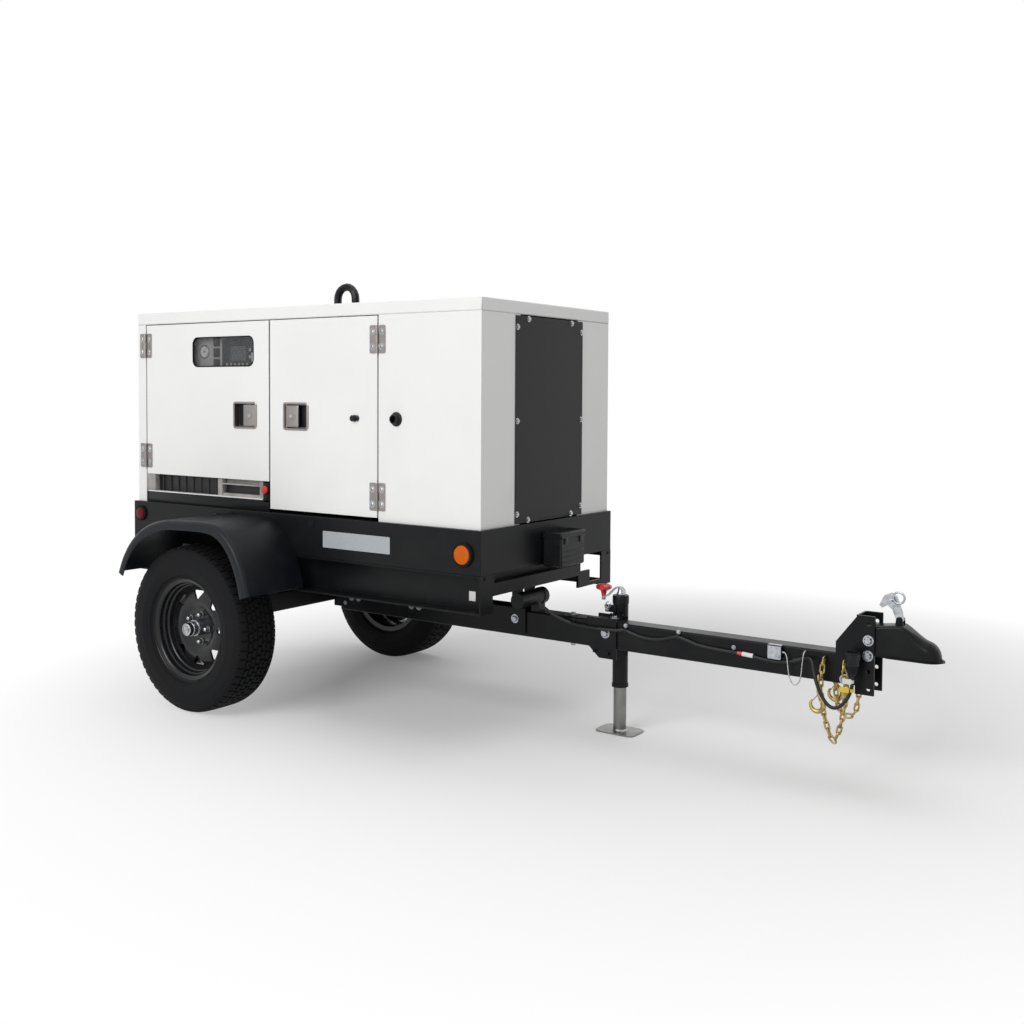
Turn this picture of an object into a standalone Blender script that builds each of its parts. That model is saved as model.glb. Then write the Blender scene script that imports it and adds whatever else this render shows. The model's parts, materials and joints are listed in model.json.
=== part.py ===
"""A towable diesel generator: a sound-proofed generating set on a single-axle trailer.

Metres, Z up, X towards the coupler, -Y the near side, which carries the control panel.
Sizes are written in the trailer's own frame, whose origin is on the ground under the axle.
The empty "trailer" moves everything so that the bounding box's bottom centre is the origin.
"""

import math

import bmesh
import bpy
from mathutils import Matrix, Vector

GAP = 0.0003                # left between pieces that touch
NEAR = -1
FAR = 1

# Wheels
TYRE_RADIUS = 0.338
TYRE_WIDTH = 0.205
TRACK = 1.200
BEAD_RADIUS = 0.1925
RIM_WIDTH = 0.165
RIM_LIP = 0.016
WELL_RADIUS = 0.172
RIM_WALL = 0.0045
RIM_WINDOWS = 8
WHEEL_SIDES = 24            # facets around the tyre and the rim, which nest
PILOT_RADIUS = 0.0335
STUD_COUNT = 5
STUD_CIRCLE = 0.1143
STUD_RADIUS = 0.0065
DISC_FACE = 0.020           # outer face of the wheel disc, outboard of the tyre's middle
DISC_THICKNESS = 0.006
HUB_DRUM_RADIUS = 0.052
SPINDLE_RADIUS = 0.020
HUB_NOSE = 0.090

# Axle
AXLE_TUBE = 0.080
AXLE_X = 0.150
AXLE_Z = 0.424
AXLE_HALF = 0.452
ARM_THICKNESS = 0.026
ARM_SHAFT_RADIUS = 0.024
ARM_SHAFT_LENGTH = 0.120
SHAFT_CLEARANCE = 0.0010

# Chassis
FRAME_REAR = -0.640
FRAME_FRONT = 1.309
FRAME_HALF = 0.455
RAIL_BOTTOM = 0.504
RAIL_TOP = 0.645
RAIL_WEB = 0.385
STEEL = 0.006
CROSS_DEPTH = 0.080
CROSS_WIDTH = 0.040
CROSS_MEMBERS = (-0.600, 0.150, 0.660, 1.180)
BASE_TOP = 0.808
BASE_WALL = 0.005

# Tongue
TONGUE_HALF = 0.038
TONGUE_BOTTOM = 0.348
TONGUE_TOP = 0.450
TONGUE_WALL = 0.006
TONGUE_REAR = 0.240
TONGUE_FRONT = 2.533
RECEIVER_FRONT = 1.220
RECEIVER_BOTTOM = 0.363
RECEIVER_TOP = 0.458
PLATE = 0.008

# Hitch
BRACKET_FRONT = 2.595
BRACKET_BOTTOM = 0.324
BRACKET_TOP = 0.584
COUPLER_BOTTOM = 0.449
COUPLER_TOP = 0.561
COUPLER_NOSE = 2.806
SOCKET_X = 2.755
SOCKET_RADIUS = 0.031
SOCKET_TOP = 0.500
LEVER_X = 2.664
LEVER_Z = 0.575
LEVER_PIN_RADIUS = 0.004
GLAND_OFFSET = 0.0087        # from the breakaway switch's back to the middle of its gland

# Jack
JACK_X = 1.565
JACK_Y = 0.100
JACK_PIVOT_Z = 0.400
JACK_TUBE_RADIUS = 0.030
JACK_BORE = 0.0256
JACK_LEG_RADIUS = 0.0250
JACK_TUBE_BOTTOM = 0.175
JACK_TUBE_TOP = 0.528
JACK_LEG_TOP = 0.400
JOURNAL_RADIUS = 0.022
PULL_PIN = (1.530, 0.066, 0.4785)  # where the pin enters its ear on the collar
FOOT_LENGTH = 0.170
FOOT_WIDTH = 0.112
FOOT_THICKNESS = 0.006
CRANK_REACH = 0.076
CRANK_DROP = 0.010           # the crank pin's shoulder under the crank's boss
KNOB_RADIUS = 0.031

# Housing
HOUSE_REAR = -0.624
HOUSE_FRONT = 1.298
HOUSE_HALF = 0.440
HOUSE_TOP = 1.643
CAP_DEPTH = 0.050
SKIN = 0.003
FLANGE = 0.040              # the folded edge behind each door's hinges
ROOF_LIP = 0.002
COVER_HALF = 0.233
COVER_OPENING = 0.200
BAIL_X = 0.226
BAIL_TOP = 1.777
BAIL_ROD = 0.017
BAIL_BEND = 0.0525
POST_WIDTH = 0.030
POST_OUTER = 0.410

# Doors
DOOR_DEPTH = 0.028
DOOR_SKIN = 0.003
DOOR_GAP = 0.004            # from a hinge's pin line to its door, and to its panel
DOOR_TOP_GAP = 0.003
CENTRE_GAP = 0.008
CENTRE_X = 0.218
REAR_PIN = -0.568
FRONT_PIN = 0.808
DOOR_BOTTOM = 0.822
SHORT_DOOR_BOTTOM = 0.933
PIN_STANDOFF = 0.0062
HINGE_HEIGHT = 0.105
HINGE_LEAF = 0.038
LEAF_THICKNESS = 0.0025
BARREL_RADIUS = 0.0055
HINGE_PIN_RADIUS = 0.0028
WINDOW = ((-0.256, 1.403), (0.126, 1.531))
WINDOW_RADIUS = 0.030
PANE_THICKNESS = 0.004
LATCH_Z = 1.2015
LATCH_WIDTH = 0.141
LATCH_HEIGHT = 0.112
LATCH_DEPTH = 0.022
LATCH_RIM = 0.008
REAR_LATCH_X = 0.0735
FRONT_LATCH_X = 0.370
PADDLE_WIDTH = 0.068

# Machinery
TOGGLE = (-0.380, -0.4140, 1.240)
TOGGLE_WIDTH = 0.036
CRANK_AXIS_Z = 1.080        # engine crankshaft, alternator and fan
FAN_RADIUS = 0.210
FAN_X = 1.010
FAN_BLADES = 6
TANK_TOP = 0.790
FILLER = (-0.450, 0.330)
FILLER_RADIUS = 0.030
FILLER_TOP = 0.905

PANEL_TOP = HOUSE_TOP - CAP_DEPTH - GAP
PANEL_BOTTOM = BASE_TOP + GAP
DOOR_TOP = PANEL_TOP - DOOR_TOP_GAP
SIDE_CENTRE = TRACK / 2
ORIGIN_X = -(FRAME_REAR + COUPLER_NOSE) / 2


# ---------------------------------------------------------------- modelling helpers

def clear_scene():
    for old in list(bpy.data.objects):
        bpy.data.objects.remove(old, do_unlink=True)


def material(name, colour, roughness, metallic=0.0):
    made = bpy.data.materials.get(name) or bpy.data.materials.new(name)
    made.use_nodes = True
    shader = made.node_tree.nodes["Principled BSDF"]
    shader.inputs["Base Color"].default_value = (*colour, 1.0)
    shader.inputs["Roughness"].default_value = roughness
    shader.inputs["Metallic"].default_value = metallic
    return made


def solid(bm):
    """A loose object from a bmesh, with its normals facing out."""
    bmesh.ops.recalc_face_normals(bm, faces=bm.faces)
    if bm.calc_volume(signed=True) < 0:
        bmesh.ops.reverse_faces(bm, faces=bm.faces)
    mesh = bpy.data.meshes.new("shape")
    bm.to_mesh(mesh)
    bm.free()
    made = bpy.data.objects.new("shape", mesh)
    bpy.context.scene.collection.objects.link(made)
    return made


def block(low, high, bevel=0.0):
    """A box between two corners, given in any order, with its edges cut at 45 degrees."""
    low, high = Vector(low), Vector(high)
    size = Vector([abs(b - a) for a, b in zip(low, high)])
    place = Matrix.Translation((low + high) / 2) @ Matrix.Diagonal((*size, 1.0))
    bm = bmesh.new()
    bmesh.ops.create_cube(bm, size=1.0, matrix=place)
    if bevel:
        bmesh.ops.bevel(bm, geom=bm.edges[:], offset=bevel, segments=1, affect="EDGES")
    return solid(bm)


def slab(outline, axis, start, end):
    """A closed outline pushed along an axis. Across Y the outline holds (x, z) pairs,
    across X (y, z) pairs, and across Z (x, y) pairs."""
    place = {"X": lambda a, b: (start, a, b), "Y": lambda a, b: (a, start, b),
             "Z": lambda a, b: (a, b, start)}
    along = {"X": (1, 0, 0), "Y": (0, 1, 0), "Z": (0, 0, 1)}
    bm = bmesh.new()
    face = bm.faces.new([bm.verts.new(place[axis](a, b)) for a, b in outline])
    pushed = bmesh.ops.extrude_face_region(bm, geom=[face])["geom"]
    step = Vector(along[axis]) * (end - start)
    bmesh.ops.translate(bm, vec=step, verts=[v for v in pushed if isinstance(v, bmesh.types.BMVert)])
    return solid(bm)


def lathe(profile, axis, centre, sides):
    """A closed (along, radius) profile turned about an axis through centre."""
    turn = {
        "X": lambda u, r, a: (u, r * math.cos(a), r * math.sin(a)),
        "Y": lambda u, r, a: (r * math.cos(a), u, r * math.sin(a)),
        "Z": lambda u, r, a: (r * math.cos(a), r * math.sin(a), u),
    }[axis]
    bm = bmesh.new()
    rings = []
    for u, r in profile:
        if r == 0:
            rings.append([bm.verts.new(Vector(centre) + Vector(turn(u, 0, 0)))] * sides)
            continue
        angles = [2 * math.pi * (i / sides - 0.25) for i in range(sides)]
        rings.append([bm.verts.new(Vector(centre) + Vector(turn(u, r, a))) for a in angles])
    closed = profile[0][1] != 0
    for k in range(len(rings) if closed else len(rings) - 1):
        here, after = rings[k], rings[(k + 1) % len(rings)]
        for i in range(sides):
            j = (i + 1) % sides
            corners = [here[i], here[j], after[j], after[i]]
            unique = [v for n, v in enumerate(corners) if v not in corners[:n]]
            if len(unique) > 2:
                bm.faces.new(unique)
    return solid(bm)


def rod(start, end, radius, sides=12, end_radius=None):
    """A round bar between two points."""
    start, end = Vector(start), Vector(end)
    way = end - start
    turn = way.to_track_quat("Z", "Y").to_matrix().to_4x4()
    place = Matrix.Translation((start + end) / 2) @ turn
    bm = bmesh.new()
    bmesh.ops.create_cone(bm, cap_ends=True, segments=sides, radius1=radius,
                          radius2=radius if end_radius is None else end_radius,
                          depth=way.length, matrix=place)
    return solid(bm)


def wire(points, radius, smooth=2, resolution=2, closed=False):
    """A round bar bent along points, through a smooth curve when smooth is above 1."""
    curve = bpy.data.curves.new("shape", "CURVE")
    curve.dimensions = "3D"
    curve.bevel_depth = radius
    curve.bevel_resolution = resolution
    curve.use_fill_caps = True
    spline = curve.splines.new("POLY")
    path = smooth_path(points, smooth) if smooth > 1 else [Vector(p) for p in points]
    spline.points.add(len(path) - 1)
    for spot, place in zip(spline.points, path):
        spot.co = (*place, 1.0)
    spline.use_cyclic_u = closed
    made = bpy.data.objects.new("shape", curve)
    bpy.context.scene.collection.objects.link(made)
    return made


def smooth_path(points, steps):
    """Points on the Catmull-Rom curve through a route, this many to each stretch."""
    route = [Vector(p) for p in points]
    ends = [2 * route[0] - route[1]] + route + [2 * route[-1] - route[-2]]
    path = []
    for a, b, c, d in zip(ends, ends[1:], ends[2:], ends[3:]):
        for i in range(steps):
            t = i / steps
            path.append(0.5 * (2 * b + (c - a) * t + (2 * a - 5 * b + 4 * c - d) * t ** 2
                               + (3 * b - a - 3 * c + d) * t ** 3))
    return path + [route[-1]]


def to_mesh(made):
    """Turns an object into a plain mesh object with its modifiers applied."""
    deps = bpy.context.evaluated_depsgraph_get()
    mesh = bpy.data.meshes.new_from_object(made.evaluated_get(deps))
    place = made.matrix_world.copy()
    bpy.data.objects.remove(made, do_unlink=True)
    mesh.transform(place)
    plain = bpy.data.objects.new("shape", mesh)
    bpy.context.scene.collection.objects.link(plain)
    return plain


def combine(target, pieces, operation):
    for piece in pieces:
        if piece.type == "CURVE":
            piece = to_mesh(piece)
        step = target.modifiers.new("step", "BOOLEAN")
        step.operation = operation
        step.solver = "EXACT"
        step.object = piece
        bpy.context.view_layer.update()
        target = to_mesh(target)
        bpy.data.objects.remove(piece, do_unlink=True)
    return target


def fuse(target, *pieces):
    return combine(target, pieces, "UNION")


def cut(target, *cutters):
    return combine(target, cutters, "DIFFERENCE")


def place(name, made, finish, pivot=(0, 0, 0)):
    """Names a finished piece and gives it its material, its origin and its parent."""
    if made.type == "MESH":
        made.data.transform(Matrix.Translation(-Vector(pivot)))
        made.data.shade_smooth()
        made.data.set_sharp_from_angle(angle=math.radians(35))
        made.location = pivot
    made.name = name
    made.data.name = name
    made.data.materials.clear()
    made.data.materials.append(finish)
    made.parent = bpy.data.objects["trailer"]
    return made


def arc(centre, radius, start, end, steps):
    """Points on an arc, with its ends, from angles in degrees."""
    angles = [math.radians(start + (end - start) * i / steps) for i in range(steps + 1)]
    return [(centre[0] + radius * math.cos(a), centre[1] + radius * math.sin(a)) for a in angles]


def rounded(low, high, radius, steps=3):
    """A rectangle's outline with round corners."""
    corners = ((high[0], high[1], 0), (low[0], high[1], 90), (low[0], low[1], 180), (high[0], low[1], 270))
    outline = []
    for x, y, start in corners:
        inner = (x - math.copysign(radius, x - (low[0] + high[0]) / 2),
                 y - math.copysign(radius, y - (low[1] + high[1]) / 2))
        outline += arc(inner, radius, start, start + 90, steps)
    return outline


def side_name(side):
    return "near" if side == NEAR else "far"


# ---------------------------------------------------------------- wheels and axle

def tyre(side):
    """A tyre: a tread and two side walls around an air space that is open at the rim."""
    half, seat = TYRE_WIDTH / 2, BEAD_RADIUS + GAP
    flange = RIM_WIDTH / 2 - GAP
    outer = [(flange - 0.008, seat), (flange, seat + RIM_LIP), (half, seat + 0.070),
             (half - 0.0105, TYRE_RADIUS - 0.014), (half - 0.0365, TYRE_RADIUS)]
    inner = [(half - 0.0425, seat), (half - 0.0100, seat + 0.070), (half - 0.0225, TYRE_RADIUS - 0.016)]
    profile = outer + [(-u, r) for u, r in reversed(outer)]
    profile += [(-u, r) for u, r in inner] + list(reversed(inner))
    return lathe(profile, "Y", (0, side * SIDE_CENTRE, TYRE_RADIUS), WHEEL_SIDES)


def rim(side):
    """A pressed steel wheel with windows near its edge and a pilot hole for the hub."""
    half, edge = RIM_WIDTH / 2, BEAD_RADIUS + RIM_LIP
    inner_well = WELL_RADIUS - RIM_WALL
    back = DISC_FACE - DISC_THICKNESS
    crown = DISC_FACE + 0.011
    bore = PILOT_RADIUS + 0.0005
    profile = [(half, edge), (half - 0.008, BEAD_RADIUS), (0.030, WELL_RADIUS), (-0.040, WELL_RADIUS),
               (0.008 - half, BEAD_RADIUS), (-half, edge), (0.0035 - half, BEAD_RADIUS - 0.005),
               (-0.044, inner_well), (0.002, inner_well), (crown - 0.007, 0.112), (back, 0.078),
               (back, bore), (DISC_FACE, bore), (DISC_FACE, 0.078), (crown, 0.112),
               (0.013, inner_well), (0.034, inner_well), (half - 0.0035, BEAD_RADIUS - 0.005)]
    wheel = lathe([(side * u, r) for u, r in profile], "Y", (0, side * SIDE_CENTRE, TYRE_RADIUS), WHEEL_SIDES)
    low, high = side * (SIDE_CENTRE - 0.010), side * (SIDE_CENTRE + 0.050)
    cutters = []
    for i in range(RIM_WINDOWS):
        turn = Matrix.Rotation(2 * math.pi * i / RIM_WINDOWS, 4, "Y")
        window = slab([(-0.010, 0.116), (0.010, 0.116), (0.030, 0.152), (-0.030, 0.152)], "Y", low, high)
        window.data.transform(Matrix.Translation((0, 0, TYRE_RADIUS)) @ turn)
        cutters.append(window)
    for x, z in stud_places():
        cutters.append(rod((x, low, z), (x, high, z), STUD_RADIUS + 0.001, 8))
    return cut(wheel, *cutters)


def stud_places():
    turns = [2 * math.pi * i / STUD_COUNT for i in range(STUD_COUNT)]
    return [(STUD_CIRCLE / 2 * math.cos(a), TYRE_RADIUS + STUD_CIRCLE / 2 * math.sin(a)) for a in turns]


def hub(side):
    """A hub bored for the spindle, with its studs, nuts and grease cap."""
    seat = DISC_FACE - DISC_THICKNESS - GAP
    profile = [(-0.050, 0.0), (-0.050, HUB_DRUM_RADIUS - 0.006), (seat - 0.014, HUB_DRUM_RADIUS),
               (seat - 0.009, 0.072), (seat, 0.072), (seat, PILOT_RADIUS), (0.048, PILOT_RADIUS),
               (0.052, 0.028), (HUB_NOSE - 0.006, 0.025), (HUB_NOSE, 0.016), (HUB_NOSE, 0.0)]
    middle = side * SIDE_CENTRE
    made = lathe([(side * u, r) for u, r in profile], "Y", (0, middle, TYRE_RADIUS), 12)
    made = cut(made, rod((0, middle - side * 0.060, TYRE_RADIUS), (0, middle + side * 0.030, TYRE_RADIUS),
                         SPINDLE_RADIUS + SHAFT_CLEARANCE, 14))
    for x, z in stud_places():
        spots = [(x, middle + side * u, z) for u in (seat - 0.006, DISC_FACE + 0.026,
                                                     DISC_FACE + GAP, DISC_FACE + 0.019)]
        made = fuse(made, fuse(rod(spots[0], spots[1], STUD_RADIUS, 6), rod(spots[2], spots[3], 0.0115, 6)))
    return made


def torsion_arm(side):
    """A trailing arm with its shaft in the axle tube and its spindle in the hub."""
    inner = AXLE_HALF + GAP
    outer = inner + ARM_THICKNESS
    angle = math.degrees(math.atan2(TYRE_RADIUS - AXLE_Z, -AXLE_X))
    outline = arc((AXLE_X, AXLE_Z), 0.045, angle + 90, angle + 270, 6)
    outline += [(x, z) for x, z in arc((0, TYRE_RADIUS), 0.034, angle - 90, angle + 90, 6)]
    made = slab(outline, "Y", side * inner, side * outer)
    shaft = rod((AXLE_X, side * (inner + 0.010), AXLE_Z),
                (AXLE_X, side * (inner - ARM_SHAFT_LENGTH), AXLE_Z), ARM_SHAFT_RADIUS, 12)
    step = rod((0, side * (outer - 0.006), TYRE_RADIUS),
               (0, side * (SIDE_CENTRE - 0.050 - GAP), TYRE_RADIUS), SPINDLE_RADIUS + 0.008, 12)
    spindle = rod((0, side * (outer - 0.004), TYRE_RADIUS),
                  (0, side * (SIDE_CENTRE + 0.030 - GAP), TYRE_RADIUS), SPINDLE_RADIUS, 12)
    return fuse(made, shaft, step, spindle)


def axle_tube():
    """The square tube under the rails, with a bracket to each rail and a bore at each end."""
    half = AXLE_TUBE / 2
    made = block((AXLE_X - half, -AXLE_HALF, AXLE_Z - half), (AXLE_X + half, AXLE_HALF, AXLE_Z + half), 0.006)
    for side in (NEAR, FAR):
        bracket = block((AXLE_X - 0.060, side * (RAIL_WEB + 0.002), AXLE_Z - 0.010),
                        (AXLE_X + 0.060, side * (AXLE_HALF - 0.002), RAIL_BOTTOM - GAP))
        made = fuse(made, bracket)
        depth = ARM_SHAFT_LENGTH + 0.002
        bore = rod((AXLE_X, side * (AXLE_HALF + 0.01), AXLE_Z),
                   (AXLE_X, side * (AXLE_HALF - depth), AXLE_Z), ARM_SHAFT_RADIUS + SHAFT_CLEARANCE, 12)
        made = cut(made, bore)
    return made


def fender(side):
    """A moulded guard: a flat top, a long front curve and a skirt around the wheel."""
    thickness = 0.005
    inner, outer = FRAME_HALF + GAP, 0.750
    over = [(-0.357, 0.551), (-0.325, 0.618), (-0.268, 0.690), (-0.185, 0.748), (-0.080, 0.780),
            (0.040, 0.788), (0.200, 0.788), (0.285, 0.762), (0.352, 0.700), (0.398, 0.615), (0.427, 0.522)]
    under = [(x + thickness * nx, z + thickness * nz) for (x, z), (nx, nz) in zip(over, inward(over))]
    shell = slab(over + under[::-1], "Y", side * inner, side * outer)
    lower = [(x + 0.040 * nx, z + 0.040 * nz) for (x, z), (nx, nz) in zip(over, inward(over))]
    skirt = slab(over + lower[::-1], "Y", side * (outer - thickness), side * (outer - 0.0002))
    return fuse(shell, skirt)


def inward(points):
    """The unit normals of an open run of points, on its lower side."""
    normals = []
    for i in range(len(points)):
        a, b = Vector(points[max(i - 1, 0)]), Vector(points[min(i + 1, len(points) - 1)])
        way = (b - a).normalized()
        normals.append((way.y, -way.x))
    return normals


# ---------------------------------------------------------------- chassis and tongue

def chassis_frame():
    """Two outward-facing channels, their cross members and the tongue's receiver plates."""
    made = None
    for side in (NEAR, FAR):
        web = block((FRAME_REAR, side * RAIL_WEB, RAIL_BOTTOM),
                    (FRAME_FRONT, side * (RAIL_WEB - STEEL), RAIL_TOP))
        parts = []
        for low in (RAIL_BOTTOM, RAIL_TOP - STEEL):
            parts.append(block((FRAME_REAR, side * (RAIL_WEB - STEEL), low),
                               (FRAME_FRONT, side * FRAME_HALF, low + STEEL)))
        for x in (FRAME_REAR, FRAME_FRONT - STEEL):
            parts.append(block((x, side * (RAIL_WEB - STEEL), RAIL_BOTTOM),
                               (x + STEEL, side * FRAME_HALF, RAIL_TOP)))
        made = fuse(web, *parts) if made is None else fuse(made, fuse(web, *parts))
    for x in CROSS_MEMBERS:
        half = CROSS_WIDTH / 2
        made = fuse(made, block((x - half, -RAIL_WEB + 0.001, RAIL_TOP - CROSS_DEPTH),
                                (x + half, RAIL_WEB - 0.001, RAIL_TOP)))
    front = block((FRAME_FRONT - 0.050, -RAIL_WEB + 0.001, RAIL_TOP - CROSS_DEPTH),
                  (FRAME_FRONT, 0.210, RAIL_TOP))
    slot = block((FRAME_FRONT - 0.040, -RAIL_WEB + 0.015, RAIL_TOP - 0.034),
                 (FRAME_FRONT + 0.01, 0.195, RAIL_TOP - 0.003))
    lower_bar = block((FRAME_FRONT - 0.010, 0.200, 0.515), (FRAME_FRONT, RAIL_WEB - 0.001, 0.530))
    lug = block((FRAME_FRONT - 0.010, 0.200, 0.518), (FRAME_FRONT, 0.288, 0.580))
    made = fuse(made, cut(front, slot), fuse(lower_bar, lug))
    for side in (NEAR, FAR):
        plate = block((AXLE_X + AXLE_TUBE / 2 + 0.006, side * (TONGUE_HALF + GAP), RECEIVER_BOTTOM),
                      (RECEIVER_FRONT, side * (TONGUE_HALF + PLATE), RECEIVER_TOP))
        made = fuse(made, plate)
        for x in CROSS_MEMBERS[2:]:
            hanger = block((x - 0.025, side * (TONGUE_HALF + 0.001), RECEIVER_TOP - 0.010),
                           (x + 0.025, side * (TONGUE_HALF + PLATE - 0.001), RAIL_TOP - 0.020))
            made = fuse(made, hanger)
    web_hole = block((FRAME_FRONT - 0.105, RAIL_WEB - 0.012, 0.532), (FRAME_FRONT - 0.008, RAIL_WEB + 0.004, 0.627))
    return cut(made, web_hole)


def skid_base():
    """The folded tray under the housing: open below, with a hole for the tank's neck."""
    made = block((FRAME_REAR, -FRAME_HALF, RAIL_TOP + GAP), (FRAME_FRONT, FRAME_HALF, BASE_TOP))
    hollow = block((FRAME_REAR + BASE_WALL, -FRAME_HALF + BASE_WALL, RAIL_TOP - 0.01),
                   (FRAME_FRONT - BASE_WALL, FRAME_HALF - BASE_WALL, BASE_TOP - BASE_WALL))
    neck = rod((*FILLER, BASE_TOP - 0.02), (*FILLER, BASE_TOP + 0.02), FILLER_RADIUS + 0.004, 16)
    return cut(made, hollow, neck)


def tongue_tube():
    made = block((TONGUE_REAR, -TONGUE_HALF, TONGUE_BOTTOM), (TONGUE_FRONT, TONGUE_HALF, TONGUE_TOP), 0.004)
    inside = TONGUE_HALF - TONGUE_WALL
    bore = block((TONGUE_REAR - 0.01, -inside, TONGUE_BOTTOM + TONGUE_WALL),
                 (TONGUE_FRONT + 0.01, inside, TONGUE_TOP - TONGUE_WALL))
    return cut(made, bore)


def hitch_bracket():
    """A channel across the tongue's end, with a gusset along each side of the tongue."""
    rear = TONGUE_FRONT + GAP
    half = TONGUE_HALF + PLATE / 2
    made = block((rear, -half, BRACKET_BOTTOM), (rear + PLATE, half, BRACKET_TOP))
    outline = [(2.466, 0.352), (rear - 0.001, 0.352), (rear - 0.001, BRACKET_BOTTOM),
               (BRACKET_FRONT, BRACKET_BOTTOM), (BRACKET_FRONT, BRACKET_TOP), (rear + 0.006, BRACKET_TOP),
               (2.466, 0.489)]
    for side in (NEAR, FAR):
        inner, outer = TONGUE_HALF + GAP, TONGUE_HALF + PLATE
        plate = slab(outline, "Y", side * inner, side * outer)
        holes = [rod((2.576, side * (inner - 0.01), z), (2.576, side * (outer + 0.01), z), 0.007, 8)
                 for z in (0.555, 0.402, 0.344)]
        made = fuse(made, cut(plate, *holes))
        for x, z in ((2.575, 0.504), (2.574, 0.454), (2.499, 0.366)):
            made = fuse(made, rod((x, side * (outer - 0.002), z), (x, side * (outer + 0.010), z), 0.0125, 6))
    return made


def coupler_body():
    """A pressed shell over the ball socket, its tail between the bracket's plates."""
    rear = TONGUE_FRONT + PLATE + 2 * GAP
    half = TONGUE_HALF - GAP
    outline = [(rear, COUPLER_BOTTOM), (SOCKET_X, COUPLER_BOTTOM), (SOCKET_X, 0.512), (2.676, COUPLER_TOP),
               (2.606, 0.553), (rear, 0.551)]
    made = slab(outline, "Y", -half, half)
    reach = COUPLER_NOSE - SOCKET_X
    nose = lathe([(COUPLER_BOTTOM, 0.0), (COUPLER_BOTTOM, reach), (0.457, reach), (0.462, 0.044),
                  (0.490, 0.040), (0.508, 0.026), (0.514, 0.0)], "Z", (SOCKET_X, 0, 0), 16)
    flange = block((BRACKET_FRONT + 0.004, -reach, COUPLER_BOTTOM), (SOCKET_X, reach, COUPLER_BOTTOM + 0.008))
    made = fuse(made, nose, flange)
    for side in (NEAR, FAR):
        ear = arc((LEVER_X, LEVER_Z), 0.011, 0, 180, 5) + [(LEVER_X - 0.011, 0.550), (LEVER_X + 0.011, 0.550)]
        made = fuse(made, slab(ear, "Y", side * 0.0105, side * 0.0145))
    made = fuse(made, rod((LEVER_X, -0.0145, LEVER_Z), (LEVER_X, 0.0145, LEVER_Z), LEVER_PIN_RADIUS, 10))
    low = COUPLER_BOTTOM - 0.01
    socket = rod((SOCKET_X, 0, low), (SOCKET_X, 0, SOCKET_TOP), SOCKET_RADIUS, 16)
    channel = block((rear + 0.040, -half + 0.006, low), (SOCKET_X, half - 0.006, 0.485))
    return cut(made, socket, channel)


def coupler_latch_lever():
    outline = arc((LEVER_X, LEVER_Z), 0.0105, -150, 30, 6)
    outline += [(2.668, 0.602), (2.650, 0.650), (2.632, 0.660), (2.612, 0.650), (2.597, 0.618),
                (2.607, 0.610), (2.624, 0.620), (2.640, 0.606)]
    made = slab(outline, "Y", -0.010, 0.010)
    pivot = rod((LEVER_X, -0.02, LEVER_Z), (LEVER_X, 0.02, LEVER_Z), LEVER_PIN_RADIUS + 0.0006, 10)
    lock = rod((2.634, -0.02, 0.637), (2.634, 0.02, 0.637), 0.0042, 8)
    return cut(made, pivot, lock)


def coupler_lock_pin():
    """A straight pin through the lever, with its pull ring on the near side."""
    pin = rod((2.634, -0.018, 0.637), (2.634, 0.018, 0.637), 0.0035, 8)
    head = rod((2.634, -0.019, 0.637), (2.634, -0.0106, 0.637), 0.006, 8)
    ring = wire([(2.648 + 0.014 * math.cos(a), -0.015, 0.645 + 0.014 * math.sin(a))
                 for a in [2 * math.pi * i / 12 for i in range(12)]], 0.0018, 1, 0, closed=True)
    return fuse(pin, head, ring)


def jack_mount():
    """Two clamp plates on the tongue, joined over and under it, and the swivel's journal."""
    inner, outer = TONGUE_HALF + GAP, TONGUE_HALF + PLATE
    near = slab([(1.502, 0.361), (1.556, 0.312), (1.630, 0.312), (1.630, 0.462), (1.502, 0.462)],
                "Y", -inner, -outer)
    far = slab([(1.502, 0.312), (1.630, 0.312), (1.630, 0.462), (1.502, 0.462)], "Y", inner, outer)
    strap = block((1.520, -inner - 0.001, TONGUE_TOP + GAP), (1.612, inner + 0.001, TONGUE_TOP + 0.006))
    made = fuse(near, far, strap)
    for x, z in ((1.592, 0.332), (1.540, 0.337)):
        made = fuse(made, rod((x, -outer - 0.010, z), (x, outer + 0.006, z), 0.006, 8))
    for x, z in ((1.592, 0.332), (1.584, 0.407)):
        made = fuse(made, rod((x, -outer + 0.002, z), (x, -outer - 0.010, z), 0.012, 6))
    journal = rod((JACK_X, outer - 0.002, JACK_PIVOT_Z),
                  (JACK_X, JACK_Y - JACK_TUBE_RADIUS - 0.0015, JACK_PIVOT_Z), JOURNAL_RADIUS, 16)
    return fuse(made, journal)


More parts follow.
